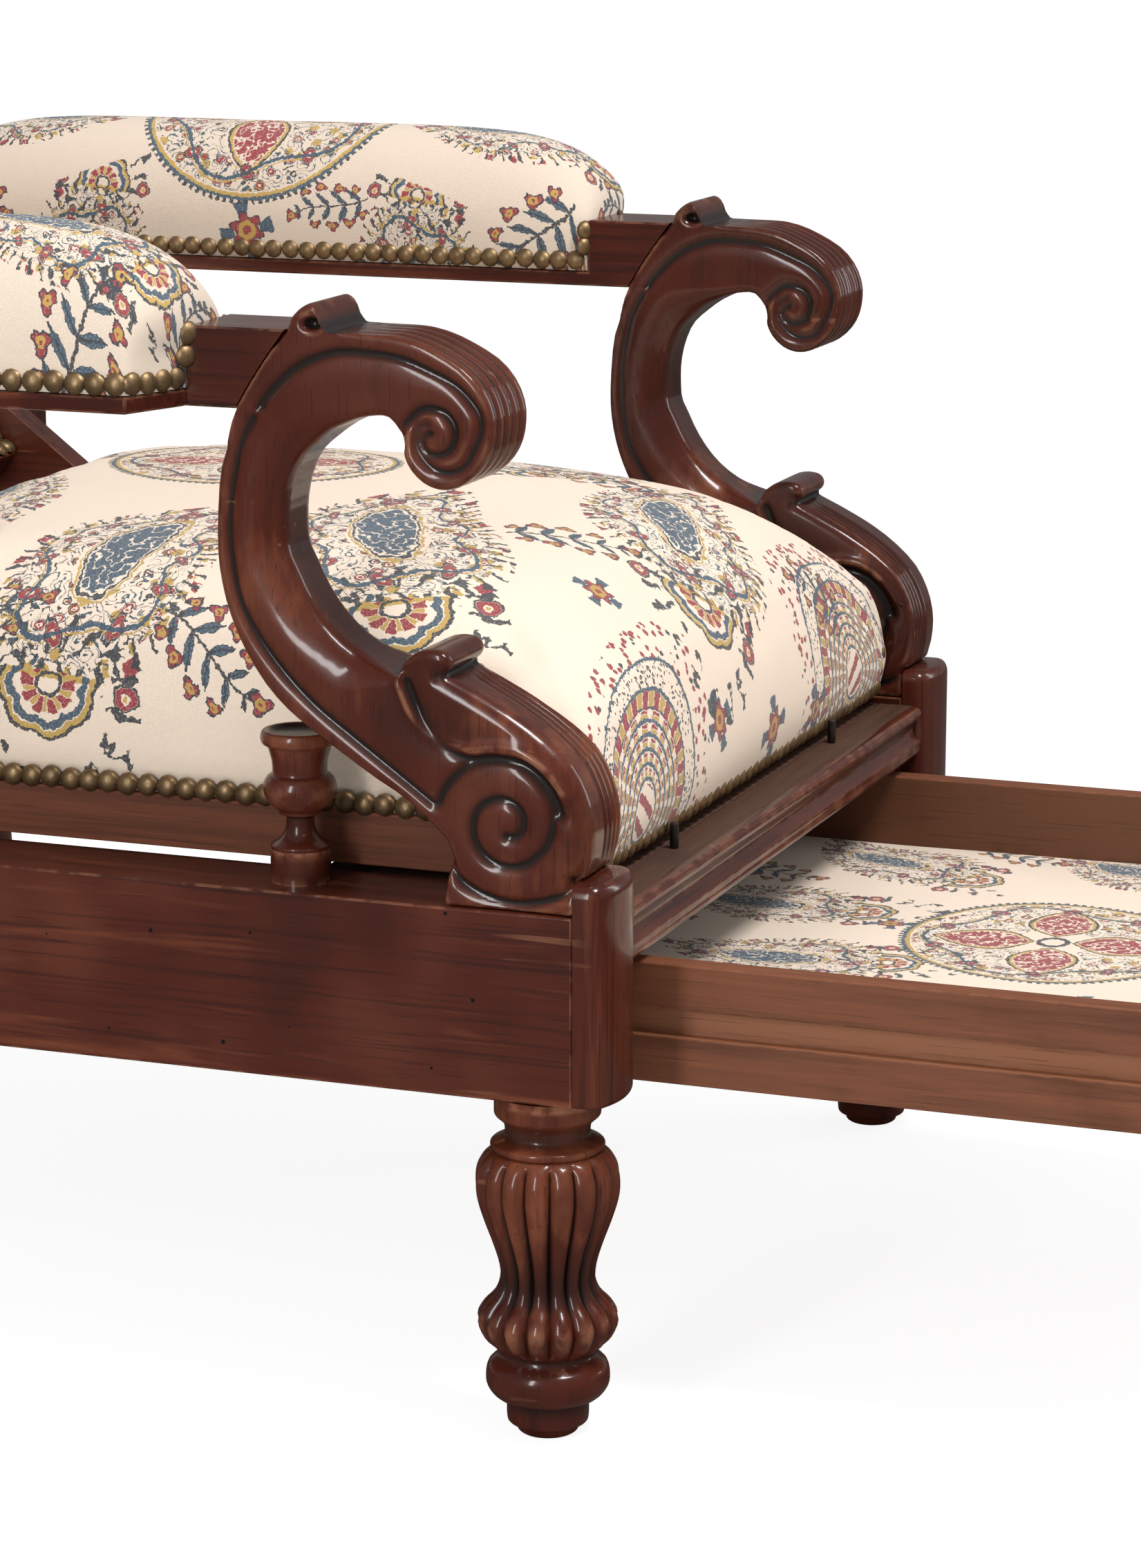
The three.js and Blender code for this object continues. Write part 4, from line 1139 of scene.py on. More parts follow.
def carved_depth(spots):
    """How deep the sides are cut at each spot by the grooves, the curl's eye and the hollow of
    the body, less the leaf's raised bead."""
    sizes = settings().carving
    depth, width = sizes.groove / MM, sizes.groove_width / MM
    cut = np.zeros(len(spots))
    for line, deeper, wider in GROOVES:
        far = line_distance(spots, line)[0]
        wide = width * wider
        dip = 0.72 * bell(far, wide) + 0.28 * bell(far, 3.2 * wide)
        cut = np.maximum(cut, deeper * depth * dip)
    cut = cut - 3.2 * bell(line_distance(spots, LEAF_BEAD)[0], 3.4)
    y, z = spots.T
    eye = np.hypot((y - 174.5) / 6.0, (z - 631.5) / 3.6)
    body = np.hypot((y - 190) / 34.0, (z - 500) / 90.0)
    return cut + 7.0 * step_down(eye, 0.5, 1.1) + 1.6 * step_down(body, 0.2, 1.2)


def reed_cut(y, z, across, half):
    """How deep the reeds over the upper scroll and the lines down the lower one are cut."""
    over = step_up(z, 540, 556) * step_down(y, 150, 168)
    over = over * (1 - step_up(y, 122, 128) * step_down(z, 584, 592))
    over = over * (1 - step_up(y, 96, 124) * step_down(z, 570, 580))
    reeds = 5
    ridge = abs(np.sin(np.pi * (across + half) * reeds / (2 * half)))
    depth = settings().carving.reed / MM * (1 - ridge ** 0.55) * over
    front = step_down(y, 80, 96) * step_down(z, 440, 452) * step_up(z, 326, 345)
    widths = {22.0: 1.5, 15.0: 1.5, 8.0: 1.5, 1.0: 1.6}
    lines = np.maximum.reduce([bell(across + place, wide) for place, wide in widths.items()])
    return np.maximum(depth, 3.0 * lines * front)


def under_curl(y, z, base=633.0, middle=181.5, radius=11.0, front=170.8, step=627.0, rear=191.5):
    """Keeps heights below the small curl on the scroll's top and the step in front of it."""
    curl = base + np.sqrt((radius ** 2 - (y - middle) ** 2).clip(0))
    top = np.where(y < front, np.maximum(step, base - 1.2 * (front - y)), curl)
    return np.where(y < rear, np.minimum(z, top), z)


def carve_support(mesh, node, sign):
    """Moves the points of an evenly meshed scroll to its carved shape."""
    points = read_points(mesh)
    outline = side_outline(node, sign)
    spots = np.stack([(points[:, 1] - POST_FACE) / MM, points[:, 2] / MM], 1)
    middle = (INNER + ARM_OUTER) / 2 * sign
    half = (ARM_OUTER - INNER) / 2 / MM
    across = (points[:, 0] - middle) / MM
    side, deep = np.sign(across), half - abs(across)
    edge, near, along = line_distance(spots, outline)
    y, z = near.T
    inward = spots - near
    size = np.hypot(*inward.T)[:, None]
    inward = np.where(size > 2.0, inward / size.clip(1e-6), inward_normals(outline, along))
    in_from_edge, in_from_side = round_over(
        edge.clip(0), deep.clip(0), *rounding_sizes(y, z, side * sign > 0))
    in_from_side = in_from_side + carved_depth(spots) * step_down(deep, 2, 9)
    rim = step_down(edge, 1, 5) * step_up(deep, 1, 4)
    in_from_edge = in_from_edge + reed_cut(y, z, across * sign, half) * rim
    moved = near + inward * in_from_edge[:, None]
    # Points well inside the flat sides only move across
    keep = (edge > 14) & (deep > 3)
    moved[keep] = spots[keep]
    y, z = moved.T
    x = middle + side * (half - in_from_side) * MM
    shaped = np.stack([x, POST_FACE + y * MM, under_curl(y, z) * MM], 1)
    mesh.vertices.foreach_set("co", shaped.ravel())
    mesh.update()


class ARMCHAIR_OT_arm_supports(bpy.types.Operator):
    """Carves the scrolled arm supports: round edges, beads, volutes, leaves and reeds"""

    bl_idname = "armchair.arm_supports"
    bl_label = "Arm supports"

    def execute(self, context):
        material = wood_material("Carved mahogany", "Z", carved=True)
        for name, sign in SIDES:
            node = "arm_support_" + name
            blank = put("blank", mesh_of("blank", merged_copy(node)))
            remesh = blank.modifiers.new("Even points", "REMESH")
            remesh.mode, remesh.voxel_size = "VOXEL", settings().carving.grain
            context.view_layer.update()
            evaluated = blank.evaluated_get(context.evaluated_depsgraph_get())
            dense = bpy.data.meshes.new_from_object(evaluated)
            bpy.data.objects.remove(blank)
            carve_support(dense, node, sign)
            bm = bmesh.new()
            bm.from_mesh(dense)
            bmesh.ops.smooth_vert(
                bm, verts=bm.verts, factor=0.5, use_axis_x=True, use_axis_y=True, use_axis_z=True)
            bmesh.ops.recalc_face_normals(bm, faces=bm.faces)
            piece = new_piece("carved_" + node, bm, material, "frame", "mahogany", [node],
                              smooth=None)
            mark_hollows(piece.data, 0.0008)
        return {"FINISHED"}


# ---------------------------------------------------------------- turned pieces

# Profiles as (radius, height) in millimetres
LEG_PROFILE = [
    (0, 0), (15.5, 0), (15.5, 0), (17.4, 1.6), (18, 5), (18, 5), (22.4, 6.5), (23.4, 9),
    (23.6, 14), (23.4, 21), (23.4, 21), (30, 22.5), (34.6, 28), (35.5, 34), (34, 41),
    (28.5, 45.5), (27, 48), (27, 49.5), (27, 49.5), (31, 52), (37, 58), (40.7, 68), (37, 76),
    (30.5, 83), (27.5, 91), (28, 101), (31.5, 113), (36.6, 127), (40.3, 139), (41.5, 148),
    (40.6, 157), (37, 164), (33.4, 167.5), (31.2, 168.5), (31.2, 168.5), (32.4, 170),
    (32.4, 172.5), (30, 174), (25.4, 176.5), (24.3, 179), (25, 184), (28.4, 187.5),
    (28.4, 187.5), (30.2, 189.5), (30.4, 193), (30.4, 201.4), (30.4, 201.4), (0, 201.4)]
SOCKET_PROFILE = [
    (0, 0), (17, 0), (17, 0), (17.2, 1), (17.2, 17.5), (16.4, 18.6), (16.4, 18.6), (17, 19.4),
    (17, 21), (15, 22.4), (11.5, 25), (8.6, 30), (8, 35), (8.4, 37.6), (12, 39), (12.4, 40.6),
    (12.4, 40.6), (17.5, 45), (20.6, 51), (20.8, 56), (18.6, 60.5), (16, 62), (16, 62),
    (15.6, 64), (16, 70), (17.6, 76), (18.4, 78.6), (18.4, 78.6), (21, 79.6), (22.2, 82.5),
    (21.6, 86), (20, 87.4), (18.2, 87.2), (15, 85), (9, 83.6), (0, 83)]
REAR_LEG_PROFILE = [
    (0, 0), (16, 0), (16, 0), (17.5, 4), (19, 8), (23, 16), (24, 26), (20, 36), (18.6, 44),
    (21, 56), (26, 78), (30, 108), (31, 138), (28.5, 160), (23, 172), (22.4, 178), (22.4, 178),
    (29, 184), (29.8, 190), (29.8, 201.4), (29.8, 201.4), (0, 201.4)]
KNOB_PROFILE = [
    (0, 0), (8, 0), (8, 0), (7.2, 6), (9, 10), (15, 14), (16, 18), (13.6, 22), (7, 24), (0, 24.2)]

# Each kind's profile, steps round it, body, and how deep a recess has to be to hold grime and
# painted shade
TURNED = {
    "turned_socket": (SOCKET_PROFILE, 56, "frame", 0.0009),
    "rear_leg": (REAR_LEG_PROFILE, 48, "frame", 0.0024),
    "footrest_knob": (KNOB_PROFILE, 40, "footrest", 0.0009),
}


def cut_reeds(bm, low=49.0, high=169.0, core=0.02, widest=0.0415):
    """Cuts reeds round a turned leg between two heights, deeper where the leg is thicker."""
    sizes = settings().carving
    for vert in bm.verts:
        radius, z = math.hypot(vert.co.x, vert.co.y), vert.co.z / MM
        if radius < core or not low < z < high:
            continue
        fade = min(1.0, (z - low) / 7.0) * min(1.0, (high - z) / 8.0)
        wave = abs(math.sin(math.atan2(vert.co.y, vert.co.x) * sizes.leg_reeds / 2))
        valley = (1 - wave ** 0.62) * sizes.leg_reed_depth * fade * (0.65 + 0.35 * radius / widest)
        vert.co.xy *= (radius - valley) / radius


def standing(node):
    """Puts a turned shape upright on the bottom of a node's box."""
    low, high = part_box(node)
    return Matrix.Translation(((low.x + high.x) / 2, (low.y + high.y) / 2, low.z))


def facing_front(node):
    """Lays a turned shape on its side, from the rear of a node's box towards the front."""
    low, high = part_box(node)
    place = Matrix.Translation(((low.x + high.x) / 2, high.y, (low.z + high.z) / 2))
    return place @ Matrix.Rotation(math.pi / 2, 4, "X")


class ARMCHAIR_OT_front_legs(bpy.types.Operator):
    """Turns the front legs and cuts their reeds"""

    bl_idname = "armchair.front_legs"
    bl_label = "Front legs"

    def execute(self, context):
        material = wood_material("Carved mahogany of the legs", "Z", carved=True)
        for name, _ in SIDES:
            node = "front_leg_" + name
            bm = turning(LEG_PROFILE, settings().carving.leg_reeds * 9)
            cut_reeds(bm)
            bmesh.ops.transform(bm, matrix=standing(node), verts=bm.verts)
            piece = new_piece("reeded_" + node, bm, material, "frame", "mahogany", [node],
                              smooth=75)
            mark_hollows(piece.data, 0.0016)
        return {"FINISHED"}


class ARMCHAIR_OT_turned_pieces(bpy.types.Operator):
    """Turns the sockets, rear legs and knobs, and finishes the pins and bolts"""

    bl_idname = "armchair.turned_pieces"
    bl_label = "Turned pieces"

    def execute(self, context):
        material = wood_material("Turned mahogany", "Z", carved=True)
        brass = metal_material("Old brass", settings().nails.brass, 0.38, 0.6)
        iron = metal_material("Dark iron", (0.05, 0.04, 0.034), 0.5, 0.3)
        metals = {
            "stop_pin": (iron, "iron"), "hinge_pin": (iron, "iron"), "catch_bolt": (brass, "brass")}
        for name, _ in SIDES:
            for kind, (profile, steps, body, reach) in TURNED.items():
                node = f"{kind}_{name}"
                bm = turning(profile, steps)
                place = facing_front(node) if kind == "footrest_knob" else standing(node)
                bmesh.ops.transform(bm, matrix=place, verts=bm.verts)
                piece = new_piece("finished_" + node, bm, material, body, "mahogany", [node],
                                  smooth=50)
                mark_hollows(piece.data, reach)
        for name, _ in SIDES:
            for kind, (metal, slot) in metals.items():
                node = f"{kind}_{name}"
                bm = merged_copy(node)
                soften(bm, 0.0005, sharp=40)
                new_piece(node + "_finished", bm, metal, body_of_node(node), slot, [node],
                          smooth=50)
        return {"FINISHED"}


# ---------------------------------------------------------------- upholstery

CLOTH_SETTINGS = {
    "vertex_group_mass": "nailed", "use_pressure": True, "uniform_pressure_force": 3.5,
    "quality": 4, "tension_stiffness": 14, "compression_stiffness": 14, "shear_stiffness": 6,
    "bending_stiffness": 0.6, "mass": 0.35,
}
CLOTH_FRAMES = 14


def pad_grid(columns, rows, shape):
    """A grid whose points are put in place by shape(s, t), with s and t from -1 to 1. Returns the
    bmesh and the points' order as rows of columns."""
    bm = bmesh.new()
    bmesh.ops.create_grid(bm, x_segments=columns, y_segments=rows, size=1.0)
    order = sorted(bm.verts, key=lambda v: (round(v.co.y * 10000), v.co.x))
    for vert in order:
        vert.co = shape(vert.co.x, vert.co.y)
    bm.verts.index_update()
    return bm, np.array([v.index for v in order]).reshape(rows + 1, columns + 1)


def stuffed(piece, grid):
    """Lets the stuffing press the cloth out between its nailed edges, then fixes the shape."""
    mesh, scene = piece.data, bpy.context.scene
    rest = read_points(mesh)
    held = piece.vertex_groups.new(name="nailed")
    border = {*grid[0], *grid[-1], *grid[:, 0], *grid[:, -1]}
    held.add([int(i) for i in border], 1.0, "REPLACE")
    cloth = piece.modifiers.new("Stuffing", "CLOTH")
    for name, value in CLOTH_SETTINGS.items():
        setattr(cloth.settings, name, value)
    cloth.settings.effector_weights.gravity = 0.0
    cloth.collision_settings.use_collision = False
    cloth.point_cache.frame_start, cloth.point_cache.frame_end = 1, CLOTH_FRAMES
    for k in range(CLOTH_FRAMES):
        scene.frame_set(k + 1)
    evaluated = piece.evaluated_get(bpy.context.evaluated_depsgraph_get())
    shaped = bpy.data.meshes.new_from_object(evaluated)
    step = read_points(shaped) - rest
    bpy.data.meshes.remove(shaped)
    piece.modifiers.remove(cloth)
    scene.frame_set(1)
    size = np.linalg.norm(step, axis=1).clip(1e-9)
    step *= (np.minimum(size, settings().cloth.swell) / size)[:, None]
    mesh.vertices.foreach_set("co", (rest + step).ravel())
    mesh.update()


def lay_cloth(piece, grid, centre):
    """Gives each point its place on the flat cloth, measured along the surface from the print's
    centre, which is a row and a column of the grid."""
    mesh = piece.data
    points = read_points(mesh)[grid]
    row, column = centre
    right, up = np.zeros(grid.shape), np.zeros(grid.shape)
    right[:, 1:] = np.linalg.norm(np.diff(points, axis=1), axis=2).cumsum(1)
    up[1:] = np.linalg.norm(np.diff(points, axis=0), axis=2).cumsum(0)
    flat = np.zeros((len(mesh.vertices), 2))
    flat[grid.ravel(), 0] = (right - right[:, column, None]).ravel()
    flat[grid.ravel(), 1] = (up - up[row]).ravel()
    layer = mesh.uv_layers.new(name="cloth")
    corners = np.zeros(len(mesh.loops), int)
    mesh.loops.foreach_get("vertex_index", corners)
    layer.data.foreach_set("uv", flat[corners].ravel())


def finish_pad(name, bm, grid, material, body, nodes, centre):
    """Closes a pad's cloth below, stuffs it, and rounds it with its nailed edge kept sharp."""
    nailed = bm.edges.layers.float.new("crease_edge")
    for edge in border_edges(bm):
        edge[nailed] = 1.0
    close(bm)
    piece = new_piece(name, bm, material, body, "printed_fabric", nodes, smooth=None)
    stuffed(piece, grid)
    lay_cloth(piece, grid, centre)
    rounder = piece.modifiers.new("Rounder", "SUBSURF")
    rounder.levels = rounder.render_levels = 1
    rounder.use_limit_surface = False


def dome(t, power, swell):
    """A crown over -1 to 1: a high power keeps it flat, a low swell makes its sides steep."""
    return max(0.0, 1.0 - abs(t) ** power) ** swell


def ease(t):
    """Spreads a grid's lines so that they are closer near the edges."""
    return math.sin(t * math.pi / 2)


def between(low, high, t):
    """From low at -1 to high at 1."""
    return (low + high) / 2 + t * (high - low) / 2


class ARMCHAIR_OT_seat_cushion(bpy.types.Operator):
    """Covers the seat: a high crown that runs down over the front rail"""

    bl_idname = "armchair.seat_cushion"
    bl_label = "Seat cushion"

    def execute(self, context):
        base, hem, nose, peak, rear, notch = 345.0, 314.2, 30.5, 366.0, 564.0, 489.0
        half, flare, tail = 281.8, 284.4, 253.6
        rise, lip = 140.0, -0.84

        def shape(s, t):
            side = ease(s)
            if t < lip:
                drop = (lip - t) / (1 + lip)
                width = half + (flare - half) * min(1.0, drop * 5)
                return at(side * width, nose + 6.9 * drop ** 1.6, base - (base - hem) * drop)
            v = ease((t - lip) / (1 - lip) * 2 - 1)
            y = peak + v * (peak - nose) if v < 0 else peak + v * (rear - peak)
            width = half if y < notch else half + (tail - half) * min(1.0, (y - notch) / 7.0)
            front = dome(v, 2.2, 0.22) if v < 0 else dome(v, 5.9, 0.17)
            return at(side * width, y, base + rise * dome(side, 2.05, 0.182) * front)

        bm, grid = pad_grid(56, 62, shape)
        material = cloth_material("Printed cloth of the seat", "seat")
        finish_pad("seat_cover", bm, grid, material, "seat", ["seat_cushion"], (38, 28))
        return {"FINISHED"}


class ARMCHAIR_OT_arm_pads(bpy.types.Operator):
    """Covers the two arm pads"""

    bl_idname = "armchair.arm_pads"
    bl_label = "Arm pads"

    def execute(self, context):
        # Painted shade: the arms' cloth is darker than the seat's
        material = cloth_material("Printed cloth of the arms in painted shade", "arm", painted_shade=0.84)
        inner, outer, rail_face = 291.6, 390.4, 347.0
        front, clip_end, rear = 250.6, 266.0, 768.6
        base, rise = 593.2, 92.0
        for name, sign in SIDES:

            def shape(s, t, sign=sign):
                v, side = ease(t), ease(s)
                y = between(front, rear, v)
                height = dome(side, 2.5, 0.33) * dome(v, 7.0, 0.31 if v < 0 else 0.3)
                clipped = min(1.0, (y - front) / (clip_end - front))
                filled = min(1.0, max(0.0, (height - 0.2) / 0.35))
                limit = rail_face + (outer - rail_face) * clipped
                limit += (outer - limit) * filled
                swell = math.sin(math.pi * max(0.0, (height - 0.22) / 0.78))
                x = between(inner, limit, side) + 3.0 * abs(side) ** 7 * math.copysign(swell, side)
                y -= 7.0 * max(0.0, -v) ** 14 * swell
                return at(sign * x, y, base + rise * height)

            bm, grid = pad_grid(26, 64, shape)
            finish_pad("arm_cover_" + name, bm, grid, material, "frame", ["arm_pad_" + name],
                       (32, 13))
        return {"FINISHED"}


def back_matrix():
    """From the back's own frame, in which Z runs up its stiles from the hinge, to the row frame."""
    joint = next(j for j in frame["joints"] if j["name"] == "back_recline")
    tilt = math.radians(37.0 - 90.0)
    return Matrix.Translation(Vector(joint["pos_m"])) @ Matrix.Rotation(tilt, 4, "X")


class ARMCHAIR_OT_back_upholstery(bpy.types.Operator):
    """Covers the front of the back between its stiles, and the plain cloth behind it"""

    bl_idname = "armchair.back_upholstery"
    bl_label = "Back upholstery"

    def execute(self, context):
        place = back_matrix()

        def front(s, t, half=246.5, low=203.5, high=703.5, plane=-6.4, rise=50.0):
            side, v = ease(s), ease(t)
            out = rise * dome(side, 2.6, 0.3) * dome(v, 2.6, 0.3)
            return place @ (Vector((side * half, plane - out, between(low, high, v))) * MM)

        def rear(s, t, half=258.0, low=192.4, high=714.6, plane=24.3, bow=3.2):
            out = bow * (1 - s ** 4) * (1 - t ** 4)
            return place @ (Vector((s * half, plane + out, between(low, high, t))) * MM)

        bm, grid = pad_grid(44, 46, front)
        material = cloth_material("Printed cloth of the back", "back")
        finish_pad("back_cover_front", bm, grid, material, "back", ["back_cushion"], (23, 22))
        bm, grid = pad_grid(40, 40, rear)
        close(bm)
        piece = new_piece("back_cover_rear", bm, material, "back", "printed_fabric",
                          ["back_cover"], smooth=None)
        lay_cloth(piece, grid, (20, 20))
        return {"FINISHED"}


class ARMCHAIR_OT_footrest_pad(bpy.types.Operator):
    """Covers the thin pad in the footrest drawer"""

    bl_idname = "armchair.footrest_pad"
    bl_label = "Footrest pad"

    def execute(self, context):
        low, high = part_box("footrest_pad")
        material = cloth_material("Printed cloth of the footrest", "footrest")
        thick = high.z - low.z

        def shape(s, t):
            x, y = between(low.x, high.x, ease(s)), between(low.y, high.y, ease(t))
            puff = dome(ease(s), 14, 0.4) * dome(ease(t), 18, 0.4)
            ripple = 0.0012 * math.sin(x * 31 + 1.3 * math.sin(y * 17)) * math.sin(y * 23 + 0.7)
            corner = 0.003 * math.exp(-((abs(x) - 0.2) ** 2 + (y + 0.62) ** 2) / 0.004)
            return Vector((x, y, low.z + thick * 0.55 + (thick * 0.42 + ripple + corner) * puff))

        bm, grid = pad_grid(64, 84, shape)
        made = bmesh.ops.extrude_edge_only(bm, edges=border_edges(bm))["geom"]
        for vert in made:
            if isinstance(vert, bmesh.types.BMVert):
                vert.co.z = low.z
        close(bm)
        bm.verts.index_update()
        piece = new_piece("footrest_cover", bm, material, "footrest", "printed_fabric",
                          ["footrest_pad"], smooth=60)
        lay_cloth(piece, grid, (42, 32))
        return {"FINISHED"}


class ARMCHAIR_OT_webs(bpy.types.Operator):
    """Finishes the webs under the seat and behind the back's stuffing"""

    bl_idname = "armchair.webs"
    bl_label = "Webs"

    def execute(self, context):
        material = webbing_material("Jute webs")
        for node in ("seat_webbing", "back_webbing"):
            bm = merged_copy(node)
            soften(bm, 0.0005, steps=1)
            new_piece(node + "_finished", bm, material, body_of_node(node), "webbing", [node],
                      smooth=40)
        return {"FINISHED"}


# ---------------------------------------------------------------- nails

# Rows of nails on the left side as a start, an end and the way they face, mirrored on the right.
# The arm's rows follow the board's outer edge, its clipped corner, its inner edge and its rear,
# and two short rows run up the front of the pad
ARM_ROWS = (
    ((390.4, 272, 599.2), (390.4, 763, 599.2), (1, 0, 0.12)),
    ((353, 253.6, 599.2), (385.5, 265.2, 599.2), (0.34, -0.94, 0.1)),
    ((291.4, 259, 600.2), (291.4, 763, 600.2), (-1, 0, 0.12)),
    ((298, 768.4, 599.2), (384, 768.4, 599.2), (0, 1, 0.1)),
    ((348.5, 249.6, 611), (348, 248.6, 624), (0.5, -0.85, 0.0)),
    ((291.6, 252.6, 610), (291.6, 252.2, 621), (-0.6, -0.8, 0.0)),
)
SEAT_ROWS = (
    ((284.6, 47, 349.6), (284.6, 486, 349.6), (1, 0, 0.15)),
    ((280.5, 36.6, 331.5), (281.5, 35.0, 343.5), (0.35, -1, 0)),
)
SEAT_FRONT_ROW = ((-278, 37.4, 320), (278, 37.4, 320), (0, -1, 0))
# In the back's own frame, across and up its stiles
BACK_ROWS = (
    ((-251.6, 198.4), (251.6, 198.4)), ((-251.6, 708.8), (251.6, 708.8)),
    ((-251.8, 210.5), (-251.8, 696.8)), ((251.8, 210.5), (251.8, 696.8)),
)


def nail_head():
    """One dome head with a flat underside, facing up."""
    sizes = settings().nails
    bm = bmesh.new()
    bmesh.ops.create_uvsphere(bm, u_segments=12, v_segments=8, radius=sizes.radius)
    everything = bm.verts[:] + bm.edges[:] + bm.faces[:]
    bmesh.ops.bisect_plane(
        bm, geom=everything, plane_co=(0, 0, 0), plane_no=(0, 0, 1), clear_inner=True)
    bmesh.ops.scale(bm, verts=bm.verts, vec=(1, 1, sizes.height / sizes.radius))
    close(bm)
    return mesh_of("nail head", bm)


def row_of_nails(bm, head, start, end, outward):
    """Adds a row of heads, each a little out of line and tilted as hand-driven nails are."""
    outward = Vector(outward).normalized()
    turn = Vector((0, 0, 1)).rotation_difference(outward).to_matrix().to_4x4()
    spaces = max(1, round((end - start).length / settings().nails.pitch))
    stray, lean = 0.00035, 0.09
    for k in range(spaces + 1):
        nudge = Vector((math.sin(k * 12.9), math.sin(k * 7.7 + 1), math.sin(k * 4.1 + 2))) * stray
        nudge -= outward * nudge.dot(outward)
        tilt = (Matrix.Rotation(lean * math.sin(k * 5.3), 4, "X")
                @ Matrix.Rotation(lean * math.sin(k * 3.1 + 1), 4, "Y"))
        place = Matrix.Translation(start.lerp(end, k / spaces) + nudge) @ turn @ tilt
        head.transform(place)
        bm.from_mesh(head)
        head.transform(place.inverted())


def side_rows(bm, head, rows, sign):
    """Adds rows of nails on one side of the chair."""
    for (x0, y0, z0), (x1, y1, z1), (x, y, z) in rows:
        row_of_nails(bm, head, at(sign * x0, y0, z0), at(sign * x1, y1, z1), (sign * x, y, z))


class ARMCHAIR_OT_nails(bpy.types.Operator):
    """Drives the rows of dome nails"""

    bl_idname = "armchair.nails"
    bl_label = "Nails"

    def execute(self, context):
        brass = metal_material("Old brass nails", settings().nails.brass, 0.46, 0.6)
        head = nail_head()
        for name, sign in SIDES:
            bm = bmesh.new()
            side_rows(bm, head, ARM_ROWS, sign)
            new_piece("nail_heads_arm_" + name, bm, brass, "frame", "brass",
                      ["arm_nails_" + name], smooth=60)
        bm = bmesh.new()
        side_rows(bm, head, [SEAT_FRONT_ROW], 1)
        for _, sign in SIDES:
            side_rows(bm, head, SEAT_ROWS, sign)
        new_piece("nail_heads_seat", bm, brass, "seat", "brass", ["seat_nails"], smooth=60)
        bm = bmesh.new()
        place = back_matrix()
        facing = place.to_3x3() @ Vector((0, -1, 0))
        for row in BACK_ROWS:
            start, end = (place @ (Vector((x, -7.6, z)) * MM) for x, z in row)
            row_of_nails(bm, head, start, end, facing)
        new_piece("nail_heads_back", bm, brass, "back", "brass", ["back_nails"], smooth=60)
        return {"FINISHED"}


# ---------------------------------------------------------------- studio

# The photograph's camera: its place, then its turn and downward tilt in radians
EYE, EYE_TURN, EYE_TILT = (-2537.46, -800.13, 919.35), -1.2113, 0.2239

# Soft boxes as place, width and height in metres, and share of the key light's power
LAMPS = {
    "Key soft box": ((-500, -1150, 3000), (0.8, 0.9), 1.0),
    "Left soft box": ((-2700, 500, 1300), (0.35, 1.7), 0.42),
    "Right soft box": ((1900, -2100, 1300), (0.4, 1.6), 0.16),
}


def soft_box(name, place, aim, size, power):
    lamp = bpy.data.lights.new(name, "AREA")
    lamp.shape, lamp.size, lamp.size_y, lamp.energy = "RECTANGLE", *size, power
    turn = (aim - place).to_track_quat("-Z", "Y").to_matrix().to_4x4()
    put(name, lamp).matrix_world = Matrix.Translation(place) @ turn


def studio_world():
    """Even pale light on the chair, a dimmer room in its polish, and white for the camera."""
    studio = settings().studio
    world = bpy.data.worlds.new("Studio")
    bpy.context.scene.world = world
    sh = Shader(world)
    path = sh.node("ShaderNodeLightPath").outputs
    level = studio.ambient
    for ray, strength in (("Is Glossy Ray", studio.polish), ("Is Camera Ray", 1.0)):
        level = sh.node("ShaderNodeMix", None, {0: path[ray], 2: level, 3: strength}).outputs[0]
    room = sh.node("ShaderNodeBackground", None, {0: (1.0, 1.0, 1.0), 1: level})
    sh.output(room, "ShaderNodeOutputWorld")


def floor_material():
    """A white floor that keeps only a soft trace of the chair's shadow."""
    sh = new_material("Studio floor")
    path = sh.node("ShaderNodeLightPath").outputs
    brightness, faded = 1.21, 0.73
    seen = Value(sh, path["Is Camera Ray"]) * faded
    pale = sh.blend(path["Is Glossy Ray"], (0.8, 0.8, 0.8), (0.12, 0.11, 0.1))
    matte = sh.node("ShaderNodeBsdfDiffuse", None, {"Color": pale})
    glow = sh.node(
        "ShaderNodeEmission", None, {"Color": (1.0, 1.0, 1.0), "Strength": brightness})
    inputs = {0: seen, 1: matte.outputs[0], 2: glow.outputs[0]}
    return sh.output(sh.node("ShaderNodeMixShader", None, inputs))


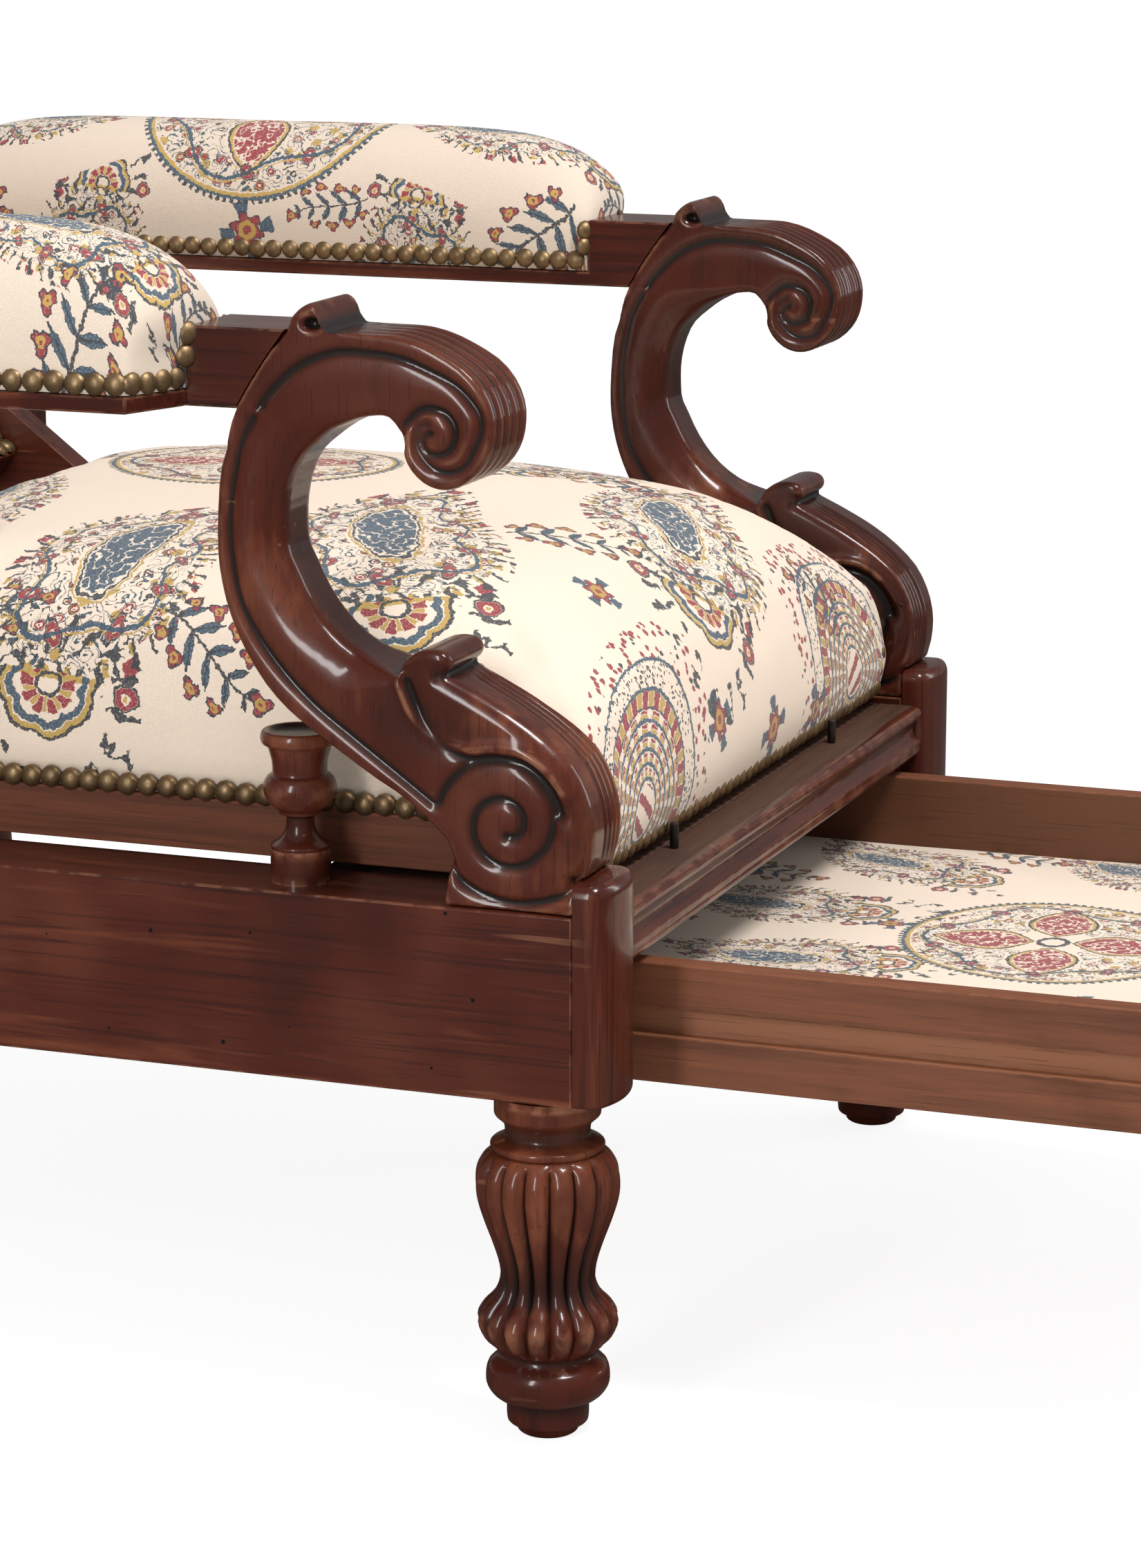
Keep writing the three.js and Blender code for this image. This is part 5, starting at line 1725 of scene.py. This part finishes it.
class ARMCHAIR_OT_studio(bpy.types.Operator):
    """Sets the floor, the soft boxes and the camera"""

    bl_idname = "armchair.studio"
    bl_label = "Studio"

    def execute(self, context):
        studio = settings().studio
        bm = bmesh.new()
        bmesh.ops.create_grid(bm, x_segments=1, y_segments=1, size=12.0)
        floor = put("studio_floor", mesh_of("studio_floor", bm))
        floor.data.materials.append(floor_material())
        floor.location.z = -0.0005
        studio_world()
        middle = at(0, 250, 420)
        for name, (place, size, share) in LAMPS.items():
            soft_box(name, at(*place), middle, size, studio.key * share)
        camera = bpy.data.cameras.new("Camera")
        camera.sensor_fit, camera.sensor_width, camera.sensor_height = "AUTO", 36.0, 36.0
        camera.lens, camera.clip_end = studio.lens, 50.0
        turn = (Matrix.Rotation(EYE_TURN, 4, "Z")
                @ Matrix.Rotation(math.pi / 2 - EYE_TILT, 4, "X"))
        eye = put("Camera", camera)
        eye.matrix_world = Matrix.Translation(at(*EYE)) @ turn
        context.scene.camera = eye
        context.scene.view_settings.view_transform = "Standard"
        return {"FINISHED"}


class ARMCHAIR_PT_panel(bpy.types.Panel):
    """Buttons for each group of pieces, and their sizes and colours"""

    bl_idname = "ARMCHAIR_PT_panel"
    bl_label = "Reclining armchair"
    bl_space_type = "VIEW_3D"
    bl_region_type = "UI"
    bl_category = "Armchair"

    def draw(self, context):
        for operator in OPERATORS:
            self.layout.operator(operator.bl_idname)
        chair = context.scene.armchair
        for group in (chair.wood, chair.carving, chair.cloth, chair.nails, chair.studio):
            box = self.layout.box()
            for name in group.__annotations__:
                box.prop(group, name)


GROUPS = (WoodLook, CarvingSizes, ClothLook, NailSizes, StudioSettings, ChairSettings)
OPERATORS = (
    ARMCHAIR_OT_studio,
    ARMCHAIR_OT_joinery,
    ARMCHAIR_OT_arm_supports,
    ARMCHAIR_OT_front_legs,
    ARMCHAIR_OT_turned_pieces,
    ARMCHAIR_OT_seat_cushion,
    ARMCHAIR_OT_arm_pads,
    ARMCHAIR_OT_back_upholstery,
    ARMCHAIR_OT_footrest_pad,
    ARMCHAIR_OT_webs,
    ARMCHAIR_OT_nails,
)


def register():
    for group in GROUPS + OPERATORS + (ARMCHAIR_PT_panel,):
        bpy.utils.register_class(group)
    bpy.types.Scene.armchair = PointerProperty(type=ChairSettings)


def unregister():
    del bpy.types.Scene.armchair
    for group in reversed(GROUPS + OPERATORS + (ARMCHAIR_PT_panel,)):
        bpy.utils.unregister_class(group)


def main():
    register()
    for operator in OPERATORS:
        group, name = operator.bl_idname.split(".")
        getattr(getattr(bpy.ops, group), name)()
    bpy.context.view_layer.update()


if __name__ == "__main__":
    main()
